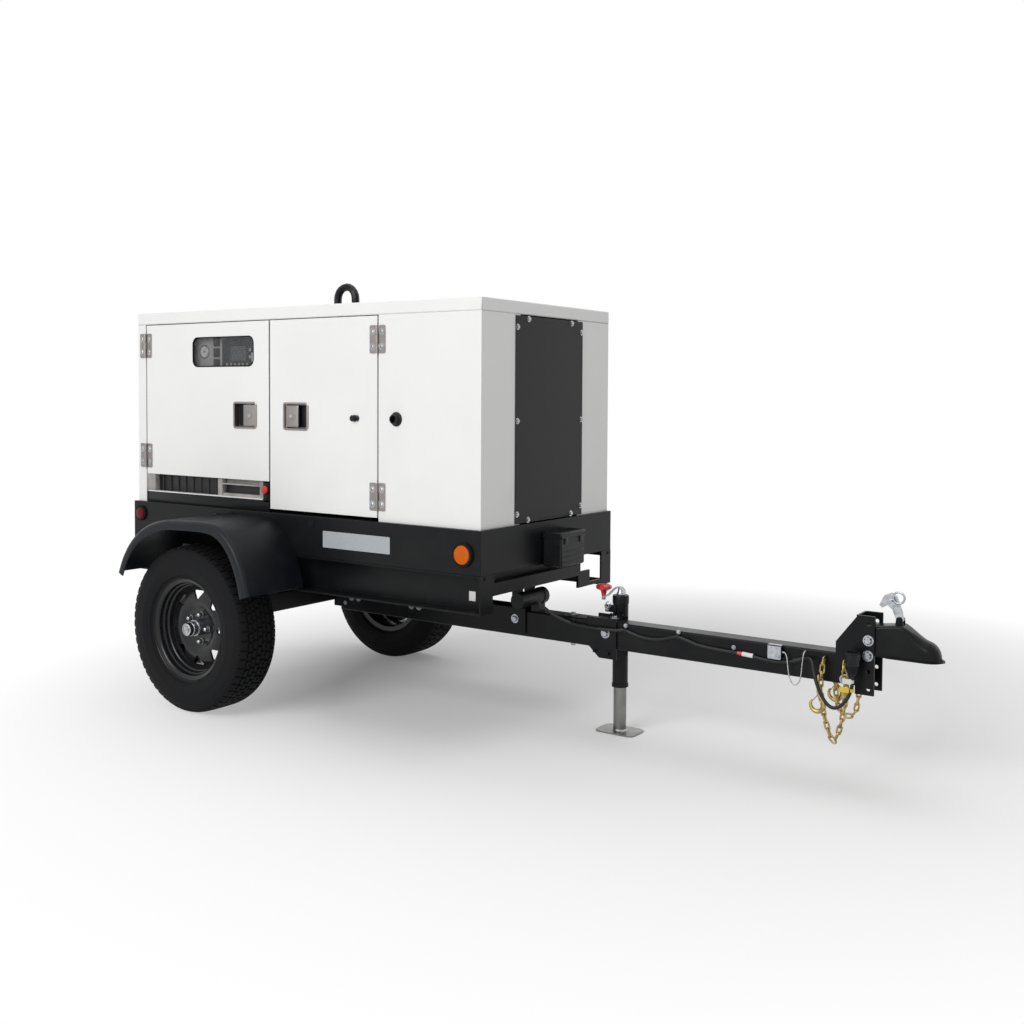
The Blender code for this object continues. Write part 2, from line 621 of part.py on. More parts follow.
def jack_tube():
    """The jack's outer tube with the swivel collar that turns on the mount's journal."""
    made = lathe([(JACK_TUBE_BOTTOM, JACK_BORE), (JACK_TUBE_BOTTOM, JACK_TUBE_RADIUS),
                  (JACK_TUBE_TOP, JACK_TUBE_RADIUS), (JACK_TUBE_TOP, 0.0125), (JACK_TUBE_TOP - 0.010, 0.0125),
                  (JACK_TUBE_TOP - 0.010, JACK_BORE)], "Z", (JACK_X, JACK_Y, 0), 16)
    start = TONGUE_HALF + PLATE + GAP
    end = JACK_Y - JACK_TUBE_RADIUS + 0.0020
    swivel = JOURNAL_RADIUS + 0.0008
    collar = lathe([(start, swivel), (start, 0.036), (end, 0.036), (end, swivel)],
                   "Y", (JACK_X, 0, JACK_PIVOT_Z), 16)
    cheeks = block((JACK_X - 0.028, end - 0.008, JACK_PIVOT_Z - 0.045),
                   (JACK_X + 0.028, JACK_Y - 0.0268, JACK_PIVOT_Z + 0.060))
    cheeks = cut(cheeks, rod((JACK_X, start, JACK_PIVOT_Z), (JACK_X, JACK_Y, JACK_PIVOT_Z), swivel, 16))
    x, y, z = PULL_PIN
    ear = block((x - 0.014, y, z - 0.014), (JACK_X, JACK_Y - JACK_BORE - 0.0015, z + 0.014))
    ear = cut(ear, rod((x, y - 0.02, z), (x, y + 0.03, z), 0.0052, 8))
    bore = rod((JACK_X, JACK_Y, JACK_TUBE_BOTTOM - 0.01), (JACK_X, JACK_Y, JACK_TUBE_TOP - 0.010),
               JACK_BORE, 16)
    return cut(fuse(made, collar, cheeks, ear), bore)


def jack_leg():
    """The inner leg and its foot plate."""
    leg = rod((JACK_X, JACK_Y, FOOT_THICKNESS / 2), (JACK_X, JACK_Y, JACK_LEG_TOP), JACK_LEG_RADIUS, 16)
    foot = slab(rounded((JACK_X - FOOT_LENGTH / 2, JACK_Y - FOOT_WIDTH / 2),
                        (JACK_X + FOOT_LENGTH / 2, JACK_Y + FOOT_WIDTH / 2), 0.025), "Z", 0.0, FOOT_THICKNESS)
    return fuse(foot, leg)


def jack_crank():
    """The crank: a shaft into the jack's head, a cast boss and an arm that bends down."""
    low = JACK_TUBE_TOP + GAP
    x, y = JACK_X - CRANK_REACH, JACK_Y
    boss = rod((JACK_X, y, low), (JACK_X, y, low + 0.026), 0.016, 12)
    shaft = rod((JACK_X, y, JACK_TUBE_TOP - 0.030), (JACK_X, y, low + 0.004), 0.0115, 12)
    shoulder = low - CRANK_DROP
    arm = wire([(JACK_X, y, low + 0.014), (JACK_X - 0.022, y, low + 0.014), (JACK_X - 0.039, y, low + 0.009),
                (x + 0.022, y, shoulder - 0.007), (x, y, shoulder - 0.0095)], 0.0065, 2, 2)
    pin = rod((x, y, shoulder - 0.010), (x, y, shoulder + 0.024), 0.004, 8)
    eye = rod((x, y, shoulder - 0.016), (x, y, shoulder), 0.009, 8)
    return fuse(boss, shaft, arm, eye, pin)


def jack_knob():
    """A mushroom knob that spins on the crank's pin."""
    x, low = JACK_X - CRANK_REACH, JACK_TUBE_TOP + 2 * GAP - CRANK_DROP
    stem = rod((x, JACK_Y, low), (x, JACK_Y, low + 0.012), 0.009, 12)
    head = lathe([(low + 0.008, 0.0), (low + 0.008, 0.010), (low + 0.018, 0.012), (low + 0.028, KNOB_RADIUS),
                  (low + 0.038, KNOB_RADIUS), (low + 0.044, 0.022), (low + 0.046, 0.0)],
                 "Z", (x, JACK_Y, 0), 12)
    hole = rod((x, JACK_Y, low - 0.01), (x, JACK_Y, low + 0.026), 0.0047, 10)
    return cut(fuse(stem, head), hole)


def jack_pull_pin():
    """The swivel's pull pin, which passes through the collar's ear, and its ring."""
    x, ear, z = PULL_PIN
    pin = rod((x, ear - 0.014, z), (x, ear + 0.016, z), 0.0045, 8)
    head = rod((x, ear - 0.0085, z), (x, ear - GAP, z), 0.008, 8)
    turns = [2 * math.pi * i / 12 for i in range(12)]
    hoop = [(x + 0.0095 * math.cos(a), ear - 0.0115, z + 0.008 + 0.0095 * math.sin(a)) for a in turns]
    return fuse(pin, head, wire(hoop, 0.0017, 1, 0, closed=True))


def battery_box():
    """The small box on the base's front that powers the breakaway brake."""
    back = FRAME_FRONT + GAP
    made = block((back, -0.062, 0.636), (1.396, 0.108, 0.752), 0.006)
    lid = block((back, -0.066, 0.744), (1.400, 0.112, 0.770), 0.005)
    return fuse(made, lid)


def manual_canister():
    """A tube for papers that lies across the tongue's receiver, with its cap and its clip."""
    x, z = 1.254, 0.508
    made = rod((x, -0.150, z), (x, 0.001, z), 0.030, 16)
    cap = rod((x, -0.001, z), (x, 0.025, z), 0.033, 16)
    return fuse(made, cap, block((x - 0.018, -0.030, TONGUE_TOP + GAP), (x + 0.018, 0.015, 0.480)))


# ---------------------------------------------------------------- chains, cables and plug

def safety_chain(side):
    """The envelope of one safety chain, from the bracket's gusset back to the tongue's side."""
    gusset, tongue, hang = TONGUE_HALF + PLATE + GAP, TONGUE_HALF + GAP, TONGUE_HALF + PLATE + 0.023
    drop = 0.166 if side == NEAR else 0.215
    route = [(2.500, gusset, 0.425), (2.500, gusset + 0.005, 0.425), (2.500, gusset + 0.010, 0.425),
             (2.504, hang, 0.402), (2.512, hang, 0.340), (2.500, hang, 0.240), (2.472, hang, drop),
             (2.440, hang, 0.240), (2.426, hang, 0.330), (2.430, hang, 0.395),
             (2.430, tongue + 0.016, 0.425), (2.430, tongue + 0.008, 0.425), (2.430, tongue, 0.425)]
    return wire([(x, side * y, z) for x, y, z in route], 0.011, 2)


HARNESS_Y = -(TONGUE_HALF + 0.0075)
HARNESS = [(1.300, -0.075, 0.500), (1.360, -0.062, 0.455), (1.430, HARNESS_Y, 0.428),
           (1.490, -0.0535, 0.424), (1.560, -0.062, 0.424), (1.640, -0.056, 0.426), (1.667, HARNESS_Y, 0.428),
           (1.720, HARNESS_Y, 0.414), (1.776, HARNESS_Y, 0.409), (1.830, HARNESS_Y, 0.416),
           (1.885, HARNESS_Y, 0.431), (1.960, HARNESS_Y, 0.412), (2.050, HARNESS_Y, 0.405),
           (2.150, HARNESS_Y, 0.402), (2.230, HARNESS_Y, 0.392), (2.300, HARNESS_Y, 0.396),
           (2.340, HARNESS_Y, 0.410)]
TRAILER_CABLE = [(2.3406, HARNESS_Y, 0.4102), (2.360, HARNESS_Y, 0.417), (2.378, -0.051, 0.419),
                 (2.395, -0.069, 0.411), (2.409, -0.089, 0.386), (2.423, -0.097, 0.350),
                 (2.440, -0.100, 0.316), (2.459, -0.102, 0.292), (2.481, -0.103, 0.282),
                 (2.505, -0.100, 0.292), (2.526, -0.095, 0.320), (2.537, -0.091, 0.352),
                 (2.538, -0.090, 0.372), (2.538, -0.090, 0.3921)]
BREAKAWAY_CABLE = [(2.2808, -0.047, 0.428), (2.290, -0.0475, 0.428), (2.301, -0.055, 0.414),
                   (2.308, -0.061, 0.380), (2.316, -0.064, 0.346), (2.331, -0.065, 0.328),
                   (2.347, -0.065, 0.336), (2.355, -0.064, 0.364), (2.358, -0.062, 0.400),
                   (2.360, -0.057, 0.430), (2.360, -0.048, 0.440), (2.360, -0.0384, 0.440)]


def trailer_plug():
    """The round plug on the trailer cable, parked in the clip on the bracket's gusset."""
    x, y = 2.538, -0.090
    grip = rod((x, y, 0.3926), (x, y, 0.425), 0.011, 12, 0.019)
    shell = rod((x, y, 0.4245), (x, y, 0.470), 0.0225, 16)
    clip = block((x - 0.016, y + 0.018, 0.436), (x + 0.016, -(TONGUE_HALF + PLATE + GAP), 0.458))
    return fuse(grip, shell, clip)


def breakaway_switch():
    face = -(TONGUE_HALF + GAP)
    body = block((2.236, face, 0.406), (2.280, face - 0.018, 0.449), 0.003)
    across = face - GLAND_OFFSET
    return fuse(body, rod((2.276, across, 0.428), (2.2803, across, 0.428), 0.006, 8))


# ---------------------------------------------------------------- housing

def front_corner_panel(side):
    """A folded sheet: the fixed side panel and the strip beside the front cover."""
    rear, front = FRONT_PIN + DOOR_GAP, HOUSE_FRONT
    outline = [(rear, HOUSE_HALF), (front, HOUSE_HALF), (front, COVER_OPENING), (front - SKIN, COVER_OPENING),
               (front - SKIN, HOUSE_HALF - SKIN), (rear + SKIN, HOUSE_HALF - SKIN),
               (rear + SKIN, HOUSE_HALF - FLANGE), (rear, HOUSE_HALF - FLANGE)]
    made = slab([(x, side * y) for x, y in outline], "Z", PANEL_BOTTOM, PANEL_TOP)
    for low in hinge_heights(DOOR_BOTTOM):
        made = fuse(made, hinge_half(FRONT_PIN, side, low, 1, moving=False))
    return made


def front_cover():
    """The service cover over the radiator, on the outside of the front strips."""
    front = HOUSE_FRONT + GAP
    made = block((front, -COVER_HALF, 0.812), (front + 0.003, COVER_HALF, 1.588))
    for side in (NEAR, FAR):
        for y, z in ((0.150, 1.578), (0.222, 1.545), (0.222, 1.196), (0.222, 0.848), (0.150, 0.822)):
            made = fuse(made, rod((front + 0.001, side * y, z), (front + 0.0085, side * y, z), 0.007, 6))
    return made


def rear_panel():
    """A folded sheet: the rear wall and the corner posts that carry the rear doors."""
    edge = REAR_PIN - DOOR_GAP
    half = [(HOUSE_REAR, HOUSE_HALF), (edge, HOUSE_HALF), (edge, HOUSE_HALF - FLANGE),
            (edge - SKIN, HOUSE_HALF - FLANGE), (edge - SKIN, HOUSE_HALF - SKIN),
            (HOUSE_REAR + SKIN, HOUSE_HALF - SKIN)]
    outline = half + [(x, -y) for x, y in reversed(half)]
    made = slab(outline, "Z", PANEL_BOTTOM, PANEL_TOP)
    for side in (NEAR, FAR):
        bottom = SHORT_DOOR_BOTTOM if side == NEAR else DOOR_BOTTOM
        for low in hinge_heights(bottom):
            made = fuse(made, hinge_half(REAR_PIN, side, low, -1, moving=False))
    return made


def roof_panel():
    """The cap: a tray turned over, with a slot for the lifting bail."""
    low = HOUSE_TOP - CAP_DEPTH
    made = block((HOUSE_REAR - ROOF_LIP, -HOUSE_HALF - ROOF_LIP, low),
                 (HOUSE_FRONT + ROOF_LIP, HOUSE_HALF + ROOF_LIP, HOUSE_TOP), 0.003)
    hollow = block((HOUSE_REAR + SKIN, -HOUSE_HALF + SKIN, low - 0.01),
                   (HOUSE_FRONT - SKIN, HOUSE_HALF - SKIN, HOUSE_TOP - SKIN))
    reach = BAIL_BEND + BAIL_ROD + 0.004
    slot = block((BAIL_X - reach, -BAIL_ROD - 0.004, low),
                 (BAIL_X + reach, BAIL_ROD + 0.004, HOUSE_TOP + 0.01))
    return cut(made, hollow, slot)


def lifting_frame():
    """The hoop inside the housing that takes the lift, with its bail above the roof."""
    half = POST_WIDTH / 2
    beam_top = HOUSE_TOP - CAP_DEPTH - 0.008
    inside, beam_low = POST_OUTER - POST_WIDTH, beam_top - POST_WIDTH
    hoop = [(POST_OUTER, PANEL_BOTTOM), (POST_OUTER, beam_top), (-POST_OUTER, beam_top),
            (-POST_OUTER, PANEL_BOTTOM), (-inside, PANEL_BOTTOM), (-inside, beam_low), (inside, beam_low),
            (inside, PANEL_BOTTOM)]
    made = slab(hoop, "X", BAIL_X - half, BAIL_X + half)
    made = fuse(made, block((BAIL_X - 0.080, -0.033, beam_top - 0.020),
                            (BAIL_X + 0.080, 0.033, beam_top + 0.006)))
    bend = BAIL_TOP - BAIL_ROD - BAIL_BEND
    bail = [(BAIL_X + BAIL_BEND, 0, beam_top - 0.010), (BAIL_X + BAIL_BEND, 0, bend - 0.03)]
    bail += [(x, 0, z) for x, z in arc((BAIL_X, bend), BAIL_BEND, 0, 180, 10)]
    bail += [(BAIL_X - BAIL_BEND, 0, bend - 0.03), (BAIL_X - BAIL_BEND, 0, beam_top - 0.010)]
    return fuse(made, wire(bail, BAIL_ROD, 1, 2))


def hinge_heights(bottom):
    return (bottom + 0.028, DOOR_TOP - 0.142)


def hinge_half(pin_x, side, low, away, moving):
    """One leaf of a hinge with its share of the barrel. The fixed leaf keeps the pin."""
    pin_y = side * (HOUSE_HALF + PIN_STANDOFF)
    face = side * (HOUSE_HALF + LEAF_THICKNESS)
    under = side * (HOUSE_HALF - 0.0015)
    high = low + HINGE_HEIGHT
    third = HINGE_HEIGHT / 3
    made = block((pin_x + away * 0.0075, under, low), (pin_x + away * HINGE_LEAF, face, high))
    fixed_spans = [(low, low + third), (high - third, high)]
    for start, end in [(low + third + 0.0005, high - third - 0.0005)] if moving else fixed_spans:
        knuckle = rod((pin_x, pin_y, start), (pin_x, pin_y, end), BARREL_RADIUS, 8)
        tab = block((pin_x + away * 0.001, side * (HOUSE_HALF + 0.0009), start),
                    (pin_x + away * 0.0085, face, end))
        made = fuse(made, fuse(knuckle, tab))
    if moving:
        return cut(made, rod((pin_x, pin_y, low), (pin_x, pin_y, high), HINGE_PIN_RADIUS + 0.0006, 8))
    return fuse(made, rod((pin_x, pin_y, low + 0.001), (pin_x, pin_y, high - 0.001), HINGE_PIN_RADIUS, 6))


def door(side, end):
    """A door: a folded pan with a latch dish and two hinge leaves. end is -1 at the rear."""
    bottom = SHORT_DOOR_BOTTOM if (side, end) == (NEAR, -1) else DOOR_BOTTOM
    pin = REAR_PIN if end < 0 else FRONT_PIN
    hinge_edge = pin - end * DOOR_GAP
    free_edge = CENTRE_X + end * CENTRE_GAP / 2
    inner = side * (HOUSE_HALF - DOOR_DEPTH)
    made = block((hinge_edge, side * HOUSE_HALF, bottom), (free_edge, inner, DOOR_TOP))
    pocket = block((hinge_edge - end * DOOR_SKIN, side * (HOUSE_HALF - DOOR_SKIN), bottom + DOOR_SKIN),
                   (free_edge + end * DOOR_SKIN, inner - side * 0.01, DOOR_TOP - DOOR_SKIN))
    made = cut(made, pocket)
    x = REAR_LATCH_X if end < 0 else FRONT_LATCH_X
    made = fuse(made, latch_block(x, side, -0.005, -0.001, -LATCH_DEPTH - 0.003),
                latch_block(x, side, 0.0, -0.001, LEAF_THICKNESS))
    for low in hinge_heights(bottom):
        made = fuse(made, hinge_half(pin, side, low, -end, moving=True))
    made = cut(made, latch_block(x, side, -LATCH_RIM, 0.01, -LATCH_DEPTH))
    if (side, end) == (NEAR, -1):
        hole = slab(rounded(*WINDOW, WINDOW_RADIUS), "Y", -HOUSE_HALF - 0.01, -HOUSE_HALF + 0.01)
        made = cut(made, hole)
    return made, (pin, side * (HOUSE_HALF + PIN_STANDOFF), bottom)


def latch_block(x, side, grow, start, end):
    """A box of the latch's outline, grown all round, between two depths from the door's face."""
    wide, high = LATCH_WIDTH / 2 + grow, LATCH_HEIGHT / 2 + grow
    return block((x - wide, side * (HOUSE_HALF + start), LATCH_Z - high),
                 (x + wide, side * (HOUSE_HALF + end), LATCH_Z + high))


def door_window():
    """The pane behind the window, held against the inside of the door's skin."""
    (x0, z0), (x1, z1) = WINDOW
    edge, face = 0.012, -(HOUSE_HALF - DOOR_SKIN - GAP)
    outline = rounded((x0 - edge, z0 - edge), (x1 + edge, z1 + edge), WINDOW_RADIUS + edge / 2)
    return slab(outline, "Y", face, face + PANE_THICKNESS)


def latch_paddle(side, end):
    """The pull paddle, which turns on pivots in the dish, away from the finger space."""
    x = REAR_LATCH_X if end < 0 else FRONT_LATCH_X
    edge = x - end * (LATCH_WIDTH / 2 - LATCH_RIM - 0.0055)
    pin_y = side * (HOUSE_HALF - 0.0035)
    half = LATCH_HEIGHT / 2 - LATCH_RIM - GAP
    made = block((edge, side * (HOUSE_HALF + 0.0005), LATCH_Z - half + 0.004),
                 (edge + end * PADDLE_WIDTH, side * (HOUSE_HALF - 0.0025), LATCH_Z + half - 0.004))
    barrel = rod((edge, pin_y, LATCH_Z - half + 0.004), (edge, pin_y, LATCH_Z + half - 0.004), 0.0042, 10)
    pivots = rod((edge, pin_y, LATCH_Z - half), (edge, pin_y, LATCH_Z + half), 0.0022, 8)
    return fuse(made, barrel, pivots), (edge, pin_y, LATCH_Z)


# ---------------------------------------------------------------- machinery

def control_panel():
    """The cabinet behind the window, with the main breaker and the ears for its toggle."""
    edge = BAIL_X - POST_WIDTH / 2 - GAP
    made = block((REAR_PIN - DOOR_GAP + GAP, -0.405, 1.130), (edge, -0.400, 1.560))
    made = fuse(made, block((-0.540, -0.402, 1.150), (edge - 0.030, -0.290, 1.540)))
    made = cut(made, block((-0.536, -0.396, 1.154), (edge - 0.034, -0.280, 1.536)))
    made = fuse(made, block((-0.420, -0.4095, 1.180), (-0.340, -0.404, 1.300)))
    x, y, z = TOGGLE
    for turn in (-1, 1):
        start = x + turn * (TOGGLE_WIDTH / 2 + GAP)
        made = fuse(made, block((start, -0.409, z - 0.005), (start + turn * 0.004, y - 0.003, z + 0.005)))
    return made


def main_breaker_lever():
    """The breaker's toggle, on a bar between the ears on the breaker's face."""
    x, y, z = TOGGLE
    bar = rod((x - TOGGLE_WIDTH / 2, y, z), (x + TOGGLE_WIDTH / 2, y, z), 0.002, 8)
    return fuse(bar, block((x - 0.006, y - 0.0005, z - 0.002), (x + 0.006, y + 0.0022, z + 0.022)))


def output_panel():
    """The panel over the output lugs, its sill, and the arm that holds the stop button."""
    edge = BAIL_X - POST_WIDTH / 2 - GAP
    made = block((REAR_PIN - DOOR_GAP + GAP, -0.405, PANEL_BOTTOM), (edge, -0.400, 1.0))
    sill = block((REAR_PIN - DOOR_GAP + GAP, -0.437, PANEL_BOTTOM), (edge, -0.402, 0.846))
    ledge = block((REAR_PIN - DOOR_GAP + GAP, -0.439, 0.845), (edge - 0.030, -0.402, 0.858))
    made = fuse(made, sill, ledge)
    arm = block((0.176, -0.437, 0.845), (edge, -0.402, 0.926))
    made = fuse(made, arm)
    return cut(made, rod((0.194, -0.46, 0.8975), (0.194, -0.410, 0.8975), 0.0080, 12))


def emergency_stop():
    """The mushroom stop button, whose stem slides in the panel's arm."""
    y, z = -0.437, 0.8975
    stem = rod((0.194, y + 0.018, z), (0.194, y - 0.010, z), 0.0072, 12)
    head = rod((0.194, y - 0.006, z), (0.194, y - 0.014, z), 0.0165, 16, 0.0165)
    return fuse(stem, head)


def engine():
    """The diesel engine: block, head, sump, flywheel housing, front shaft and feet."""
    z = CRANK_AXIS_Z
    made = block((0.460, -0.140, z - 0.130), (0.900, 0.140, z + 0.150), 0.008)
    head = block((0.480, -0.105, z + 0.148), (0.880, 0.105, z + 0.260), 0.008)
    sump = block((0.500, -0.110, z - 0.215), (0.860, 0.110, z - 0.128), 0.010)
    housing = rod((0.420, 0, z), (0.462, 0, z), 0.185, 16)
    pulley = rod((0.898, 0, z), (0.950, 0, z), 0.070, 16)
    shaft = rod((0.948, 0, z), (FAN_X + 0.024, 0, z), 0.0120, 12)
    made = fuse(made, head, sump, housing, pulley, shaft)
    for x in (0.520, 0.840):
        made = fuse(made, block((x - 0.035, -0.200, BASE_TOP + GAP), (x + 0.035, -0.130, z - 0.020)),
                    block((x - 0.035, 0.130, BASE_TOP + GAP), (x + 0.035, 0.200, z - 0.020)))
    return made


def alternator():
    """The generator end, bolted face to face with the engine's flywheel housing."""
    z = CRANK_AXIS_Z
    made = rod((0.060, 0, z), (0.420 - GAP, 0, z), 0.168, 16)
    cap = rod((0.020, 0, z), (0.062, 0, z), 0.130, 16, 0.165)
    made = fuse(made, cap, block((0.130, -0.110, z + 0.120), (0.330, 0.110, z + 0.215), 0.006))
    for side in (NEAR, FAR):
        made = fuse(made, block((0.120, side * 0.080, BASE_TOP + GAP), (0.330, side * 0.160, z - 0.060)))
    return made


def radiator():
    """The cooling pack on its feet, with the shroud's ring behind it."""
    back, front = 1.112, 1.146
    made = block((back, -0.310, 0.860), (front, 0.310, 1.490))
    inner, outer = FAN_RADIUS + 0.012, FAN_RADIUS + 0.022
    ring = lathe([(1.040, inner), (1.040, outer), (back + 0.002, outer), (back + 0.002, inner)],
                 "X", (0, 0, CRANK_AXIS_Z), 16)
    made = fuse(made, ring, rod((1.129, -0.120, 1.485), (1.129, -0.120, 1.520), 0.030, 12))
    for side in (NEAR, FAR):
        made = fuse(made, block((back + 0.001, side * 0.220, BASE_TOP + GAP),
                                (front - 0.001, side * 0.300, 0.870)))
    return made


def cooling_fan():
    """The fan on the engine's shaft: a bored hub and twisted blades."""
    z = CRANK_AXIS_Z
    made = rod((FAN_X - 0.020, 0, z), (FAN_X + 0.020, 0, z), 0.050, 16)
    for i in range(FAN_BLADES):
        blade = block((-0.0015, -0.034, 0.040), (0.0015, 0.034, FAN_RADIUS))
        twist = Matrix.Rotation(math.radians(24), 4, "Z")
        turn = Matrix.Rotation(2 * math.pi * i / FAN_BLADES, 4, "X")
        blade.data.transform(Matrix.Translation((FAN_X, 0, z)) @ turn @ twist)
        made = fuse(made, blade)
    return cut(made, rod((FAN_X - 0.03, 0, z), (FAN_X + 0.03, 0, z), 0.0128, 12))


def muffler():
    """The silencer above the engine, with its feet, inlet and tail pipe."""
    z = CRANK_AXIS_Z + 0.260
    made = rod((0.460, 0.020, z + 0.105), (0.920, 0.020, z + 0.105), 0.072, 16)
    for x in (0.540, 0.820):
        made = fuse(made, block((x - 0.015, -0.050, z + GAP), (x + 0.015, 0.090, z + 0.080)))
    return fuse(made, rod((0.915, 0.020, z + 0.105), (0.990, 0.020, z + 0.105), 0.026, 12))


def starting_battery():
    made = block((-0.520, 0.020, BASE_TOP + GAP), (-0.260, 0.195, 1.000), 0.005)
    for x in (-0.480, -0.300):
        made = fuse(made, rod((x, 0.055, 0.998), (x, 0.055, 1.016), 0.008, 8))
    return made


def fuel_tank():
    """The moulded tank under the base's top, resting on the cross members."""
    made = block((-0.560, -0.350, RAIL_TOP + GAP), (0.670, 0.350, TANK_TOP), 0.012)
    return fuse(made, rod((*FILLER, TANK_TOP - 0.010), (*FILLER, FILLER_TOP), FILLER_RADIUS, 16))


def fuel_cap():
    made = rod((*FILLER, FILLER_TOP + GAP), (*FILLER, FILLER_TOP + 0.024), FILLER_RADIUS + 0.010, 12)
    return fuse(made, block((FILLER[0] - 0.034, FILLER[1] - 0.006, FILLER_TOP + 0.022),
                            (FILLER[0] + 0.034, FILLER[1] + 0.006, FILLER_TOP + 0.036)))


# ---------------------------------------------------------------- assembly

def main():
    clear_scene()
    trailer = bpy.data.objects.new("trailer", None)
    trailer.location = (ORIGIN_X, 0, 0)
    bpy.context.scene.collection.objects.link(trailer)

    black = material("black paint", (0.022, 0.024, 0.028), 0.45, 0.2)
    white = material("white powder coat", (0.80, 0.80, 0.79), 0.40)
    grey = material("dark grey powder coat", (0.045, 0.045, 0.047), 0.55)
    rubber = material("tyre rubber", (0.020, 0.020, 0.022), 0.85)
    plastic = material("black plastic", (0.016, 0.017, 0.020), 0.50)
    steel = material("brushed stainless", (0.62, 0.61, 0.59), 0.32, 1.0)
    zinc = material("zinc plate", (0.66, 0.67, 0.69), 0.30, 1.0)
    gold = material("yellow zinc plate", (0.62, 0.44, 0.16), 0.35, 1.0)
    red = material("red plastic", (0.62, 0.02, 0.02), 0.35)
    alloy = material("cast alloy", (0.42, 0.43, 0.44), 0.50, 0.8)
    tank = material("tank plastic", (0.03, 0.03, 0.032), 0.60)
    clear = material("clear pane", (0.10, 0.11, 0.12), 0.08)

    for side in (NEAR, FAR):
        name = side_name(side)
        wheel = (0, side * SIDE_CENTRE, TYRE_RADIUS)
        place(f"tyre_{name}", tyre(side), rubber, wheel)
        place(f"rim_{name}", rim(side), black, wheel)
        place(f"hub_{name}", hub(side), zinc, wheel)
        place(f"torsion_arm_{name}", torsion_arm(side), black, (AXLE_X, side * AXLE_HALF, AXLE_Z))
        place(f"fender_{name}", fender(side), plastic)
        place(f"front_corner_panel_{name}", front_corner_panel(side), white)
        place(f"safety_chain_{name}", to_mesh(safety_chain(side)), gold)
        for end, spot in ((-1, "rear"), (1, "front")):
            made, pivot = door(side, end)
            place(f"door_{name}_{spot}", made, white, pivot)
            made, pivot = latch_paddle(side, end)
            place(f"latch_paddle_{name}_{spot}", made, steel, pivot)

    place("axle_tube", axle_tube(), black)
    place("chassis_frame", chassis_frame(), black)
    place("skid_base", skid_base(), black)
    place("tongue_tube", tongue_tube(), black)
    place("hitch_bracket", hitch_bracket(), black)
    place("coupler_body", coupler_body(), black)
    place("coupler_latch_lever", coupler_latch_lever(), zinc, (LEVER_X, 0, LEVER_Z))
    place("coupler_lock_pin", coupler_lock_pin(), zinc, (2.634, 0, 0.637))
    place("jack_mount", jack_mount(), black)
    place("jack_tube", jack_tube(), black, (JACK_X, JACK_Y, JACK_PIVOT_Z))
    place("jack_leg", jack_leg(), zinc, (JACK_X, JACK_Y, 0))
    place("jack_crank", jack_crank(), zinc, (JACK_X, JACK_Y, JACK_TUBE_TOP))
    place("jack_knob", jack_knob(), red, (JACK_X - CRANK_REACH, JACK_Y, JACK_TUBE_TOP))
    place("jack_pull_pin", jack_pull_pin(), zinc, PULL_PIN)
    place("battery_box", battery_box(), plastic)
    place("manual_canister", manual_canister(), plastic)
    place("tongue_harness", wire(HARNESS, 0.006, 2), plastic)
    place("trailer_cable", wire(TRAILER_CABLE, 0.006, 2), plastic)
    place("trailer_plug", trailer_plug(), plastic)
    place("breakaway_switch", breakaway_switch(), plastic)
    place("breakaway_cable", wire(BREAKAWAY_CABLE, 0.002, 2), steel)
    place("front_cover", front_cover(), grey)
    place("rear_panel", rear_panel(), white)
    place("roof_panel", roof_panel(), white)
    place("lifting_frame", lifting_frame(), black)
    place("door_window", door_window(), clear)
    place("control_panel", control_panel(), grey)
    place("main_breaker_lever", main_breaker_lever(), plastic, TOGGLE)
    place("output_panel", output_panel(), grey)
    place("emergency_stop", emergency_stop(), red, (0.194, -0.437, 0.8975))
    place("engine", engine(), alloy)
    place("alternator", alternator(), alloy)
    place("radiator", radiator(), plastic)
    place("cooling_fan", cooling_fan(), plastic, (FAN_X, 0, CRANK_AXIS_Z))
    place("muffler", muffler(), alloy)
    place("starting_battery", starting_battery(), plastic)
    place("fuel_tank", fuel_tank(), tank)
    place("fuel_cap", fuel_cap(), plastic, (*FILLER, FILLER_TOP))


main()
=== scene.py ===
"""The looks of a towable diesel generator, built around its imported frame.

Metres, Z up, X towards the coupler, -Y the near side, which carries the control panel.
Pieces are written with x measured from the axle, and piece() moves them into the frame.
"""
import json
import math

import bmesh
import bpy
from mathutils import Matrix, Vector


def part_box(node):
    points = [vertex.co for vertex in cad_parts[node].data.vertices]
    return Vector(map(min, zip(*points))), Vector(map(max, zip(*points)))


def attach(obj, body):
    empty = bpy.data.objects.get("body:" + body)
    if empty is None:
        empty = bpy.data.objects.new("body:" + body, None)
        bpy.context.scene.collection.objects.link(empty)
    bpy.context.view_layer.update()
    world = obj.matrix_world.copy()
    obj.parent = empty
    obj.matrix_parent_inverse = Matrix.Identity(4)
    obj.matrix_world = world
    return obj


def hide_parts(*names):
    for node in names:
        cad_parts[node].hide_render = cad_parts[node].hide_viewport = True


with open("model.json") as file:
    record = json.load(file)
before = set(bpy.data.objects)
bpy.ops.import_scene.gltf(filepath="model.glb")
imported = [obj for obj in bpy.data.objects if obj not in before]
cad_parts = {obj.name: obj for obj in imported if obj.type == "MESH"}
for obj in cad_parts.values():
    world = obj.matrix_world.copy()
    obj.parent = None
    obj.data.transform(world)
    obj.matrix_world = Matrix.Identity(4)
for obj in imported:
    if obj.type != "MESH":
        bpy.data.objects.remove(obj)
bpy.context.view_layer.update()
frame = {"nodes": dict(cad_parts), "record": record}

NEAR, FAR = -1, 1
SIDES = ((NEAR, "near"), (FAR, "far"))
WHEEL_LOW, WHEEL_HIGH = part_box("tyre_near")
AXLE = (WHEEL_LOW.x + WHEEL_HIGH.x) / 2
WHEEL_Z = (WHEEL_LOW.z + WHEEL_HIGH.z) / 2
WHEEL_Y = -(WHEEL_LOW.y + WHEEL_HIGH.y) / 2
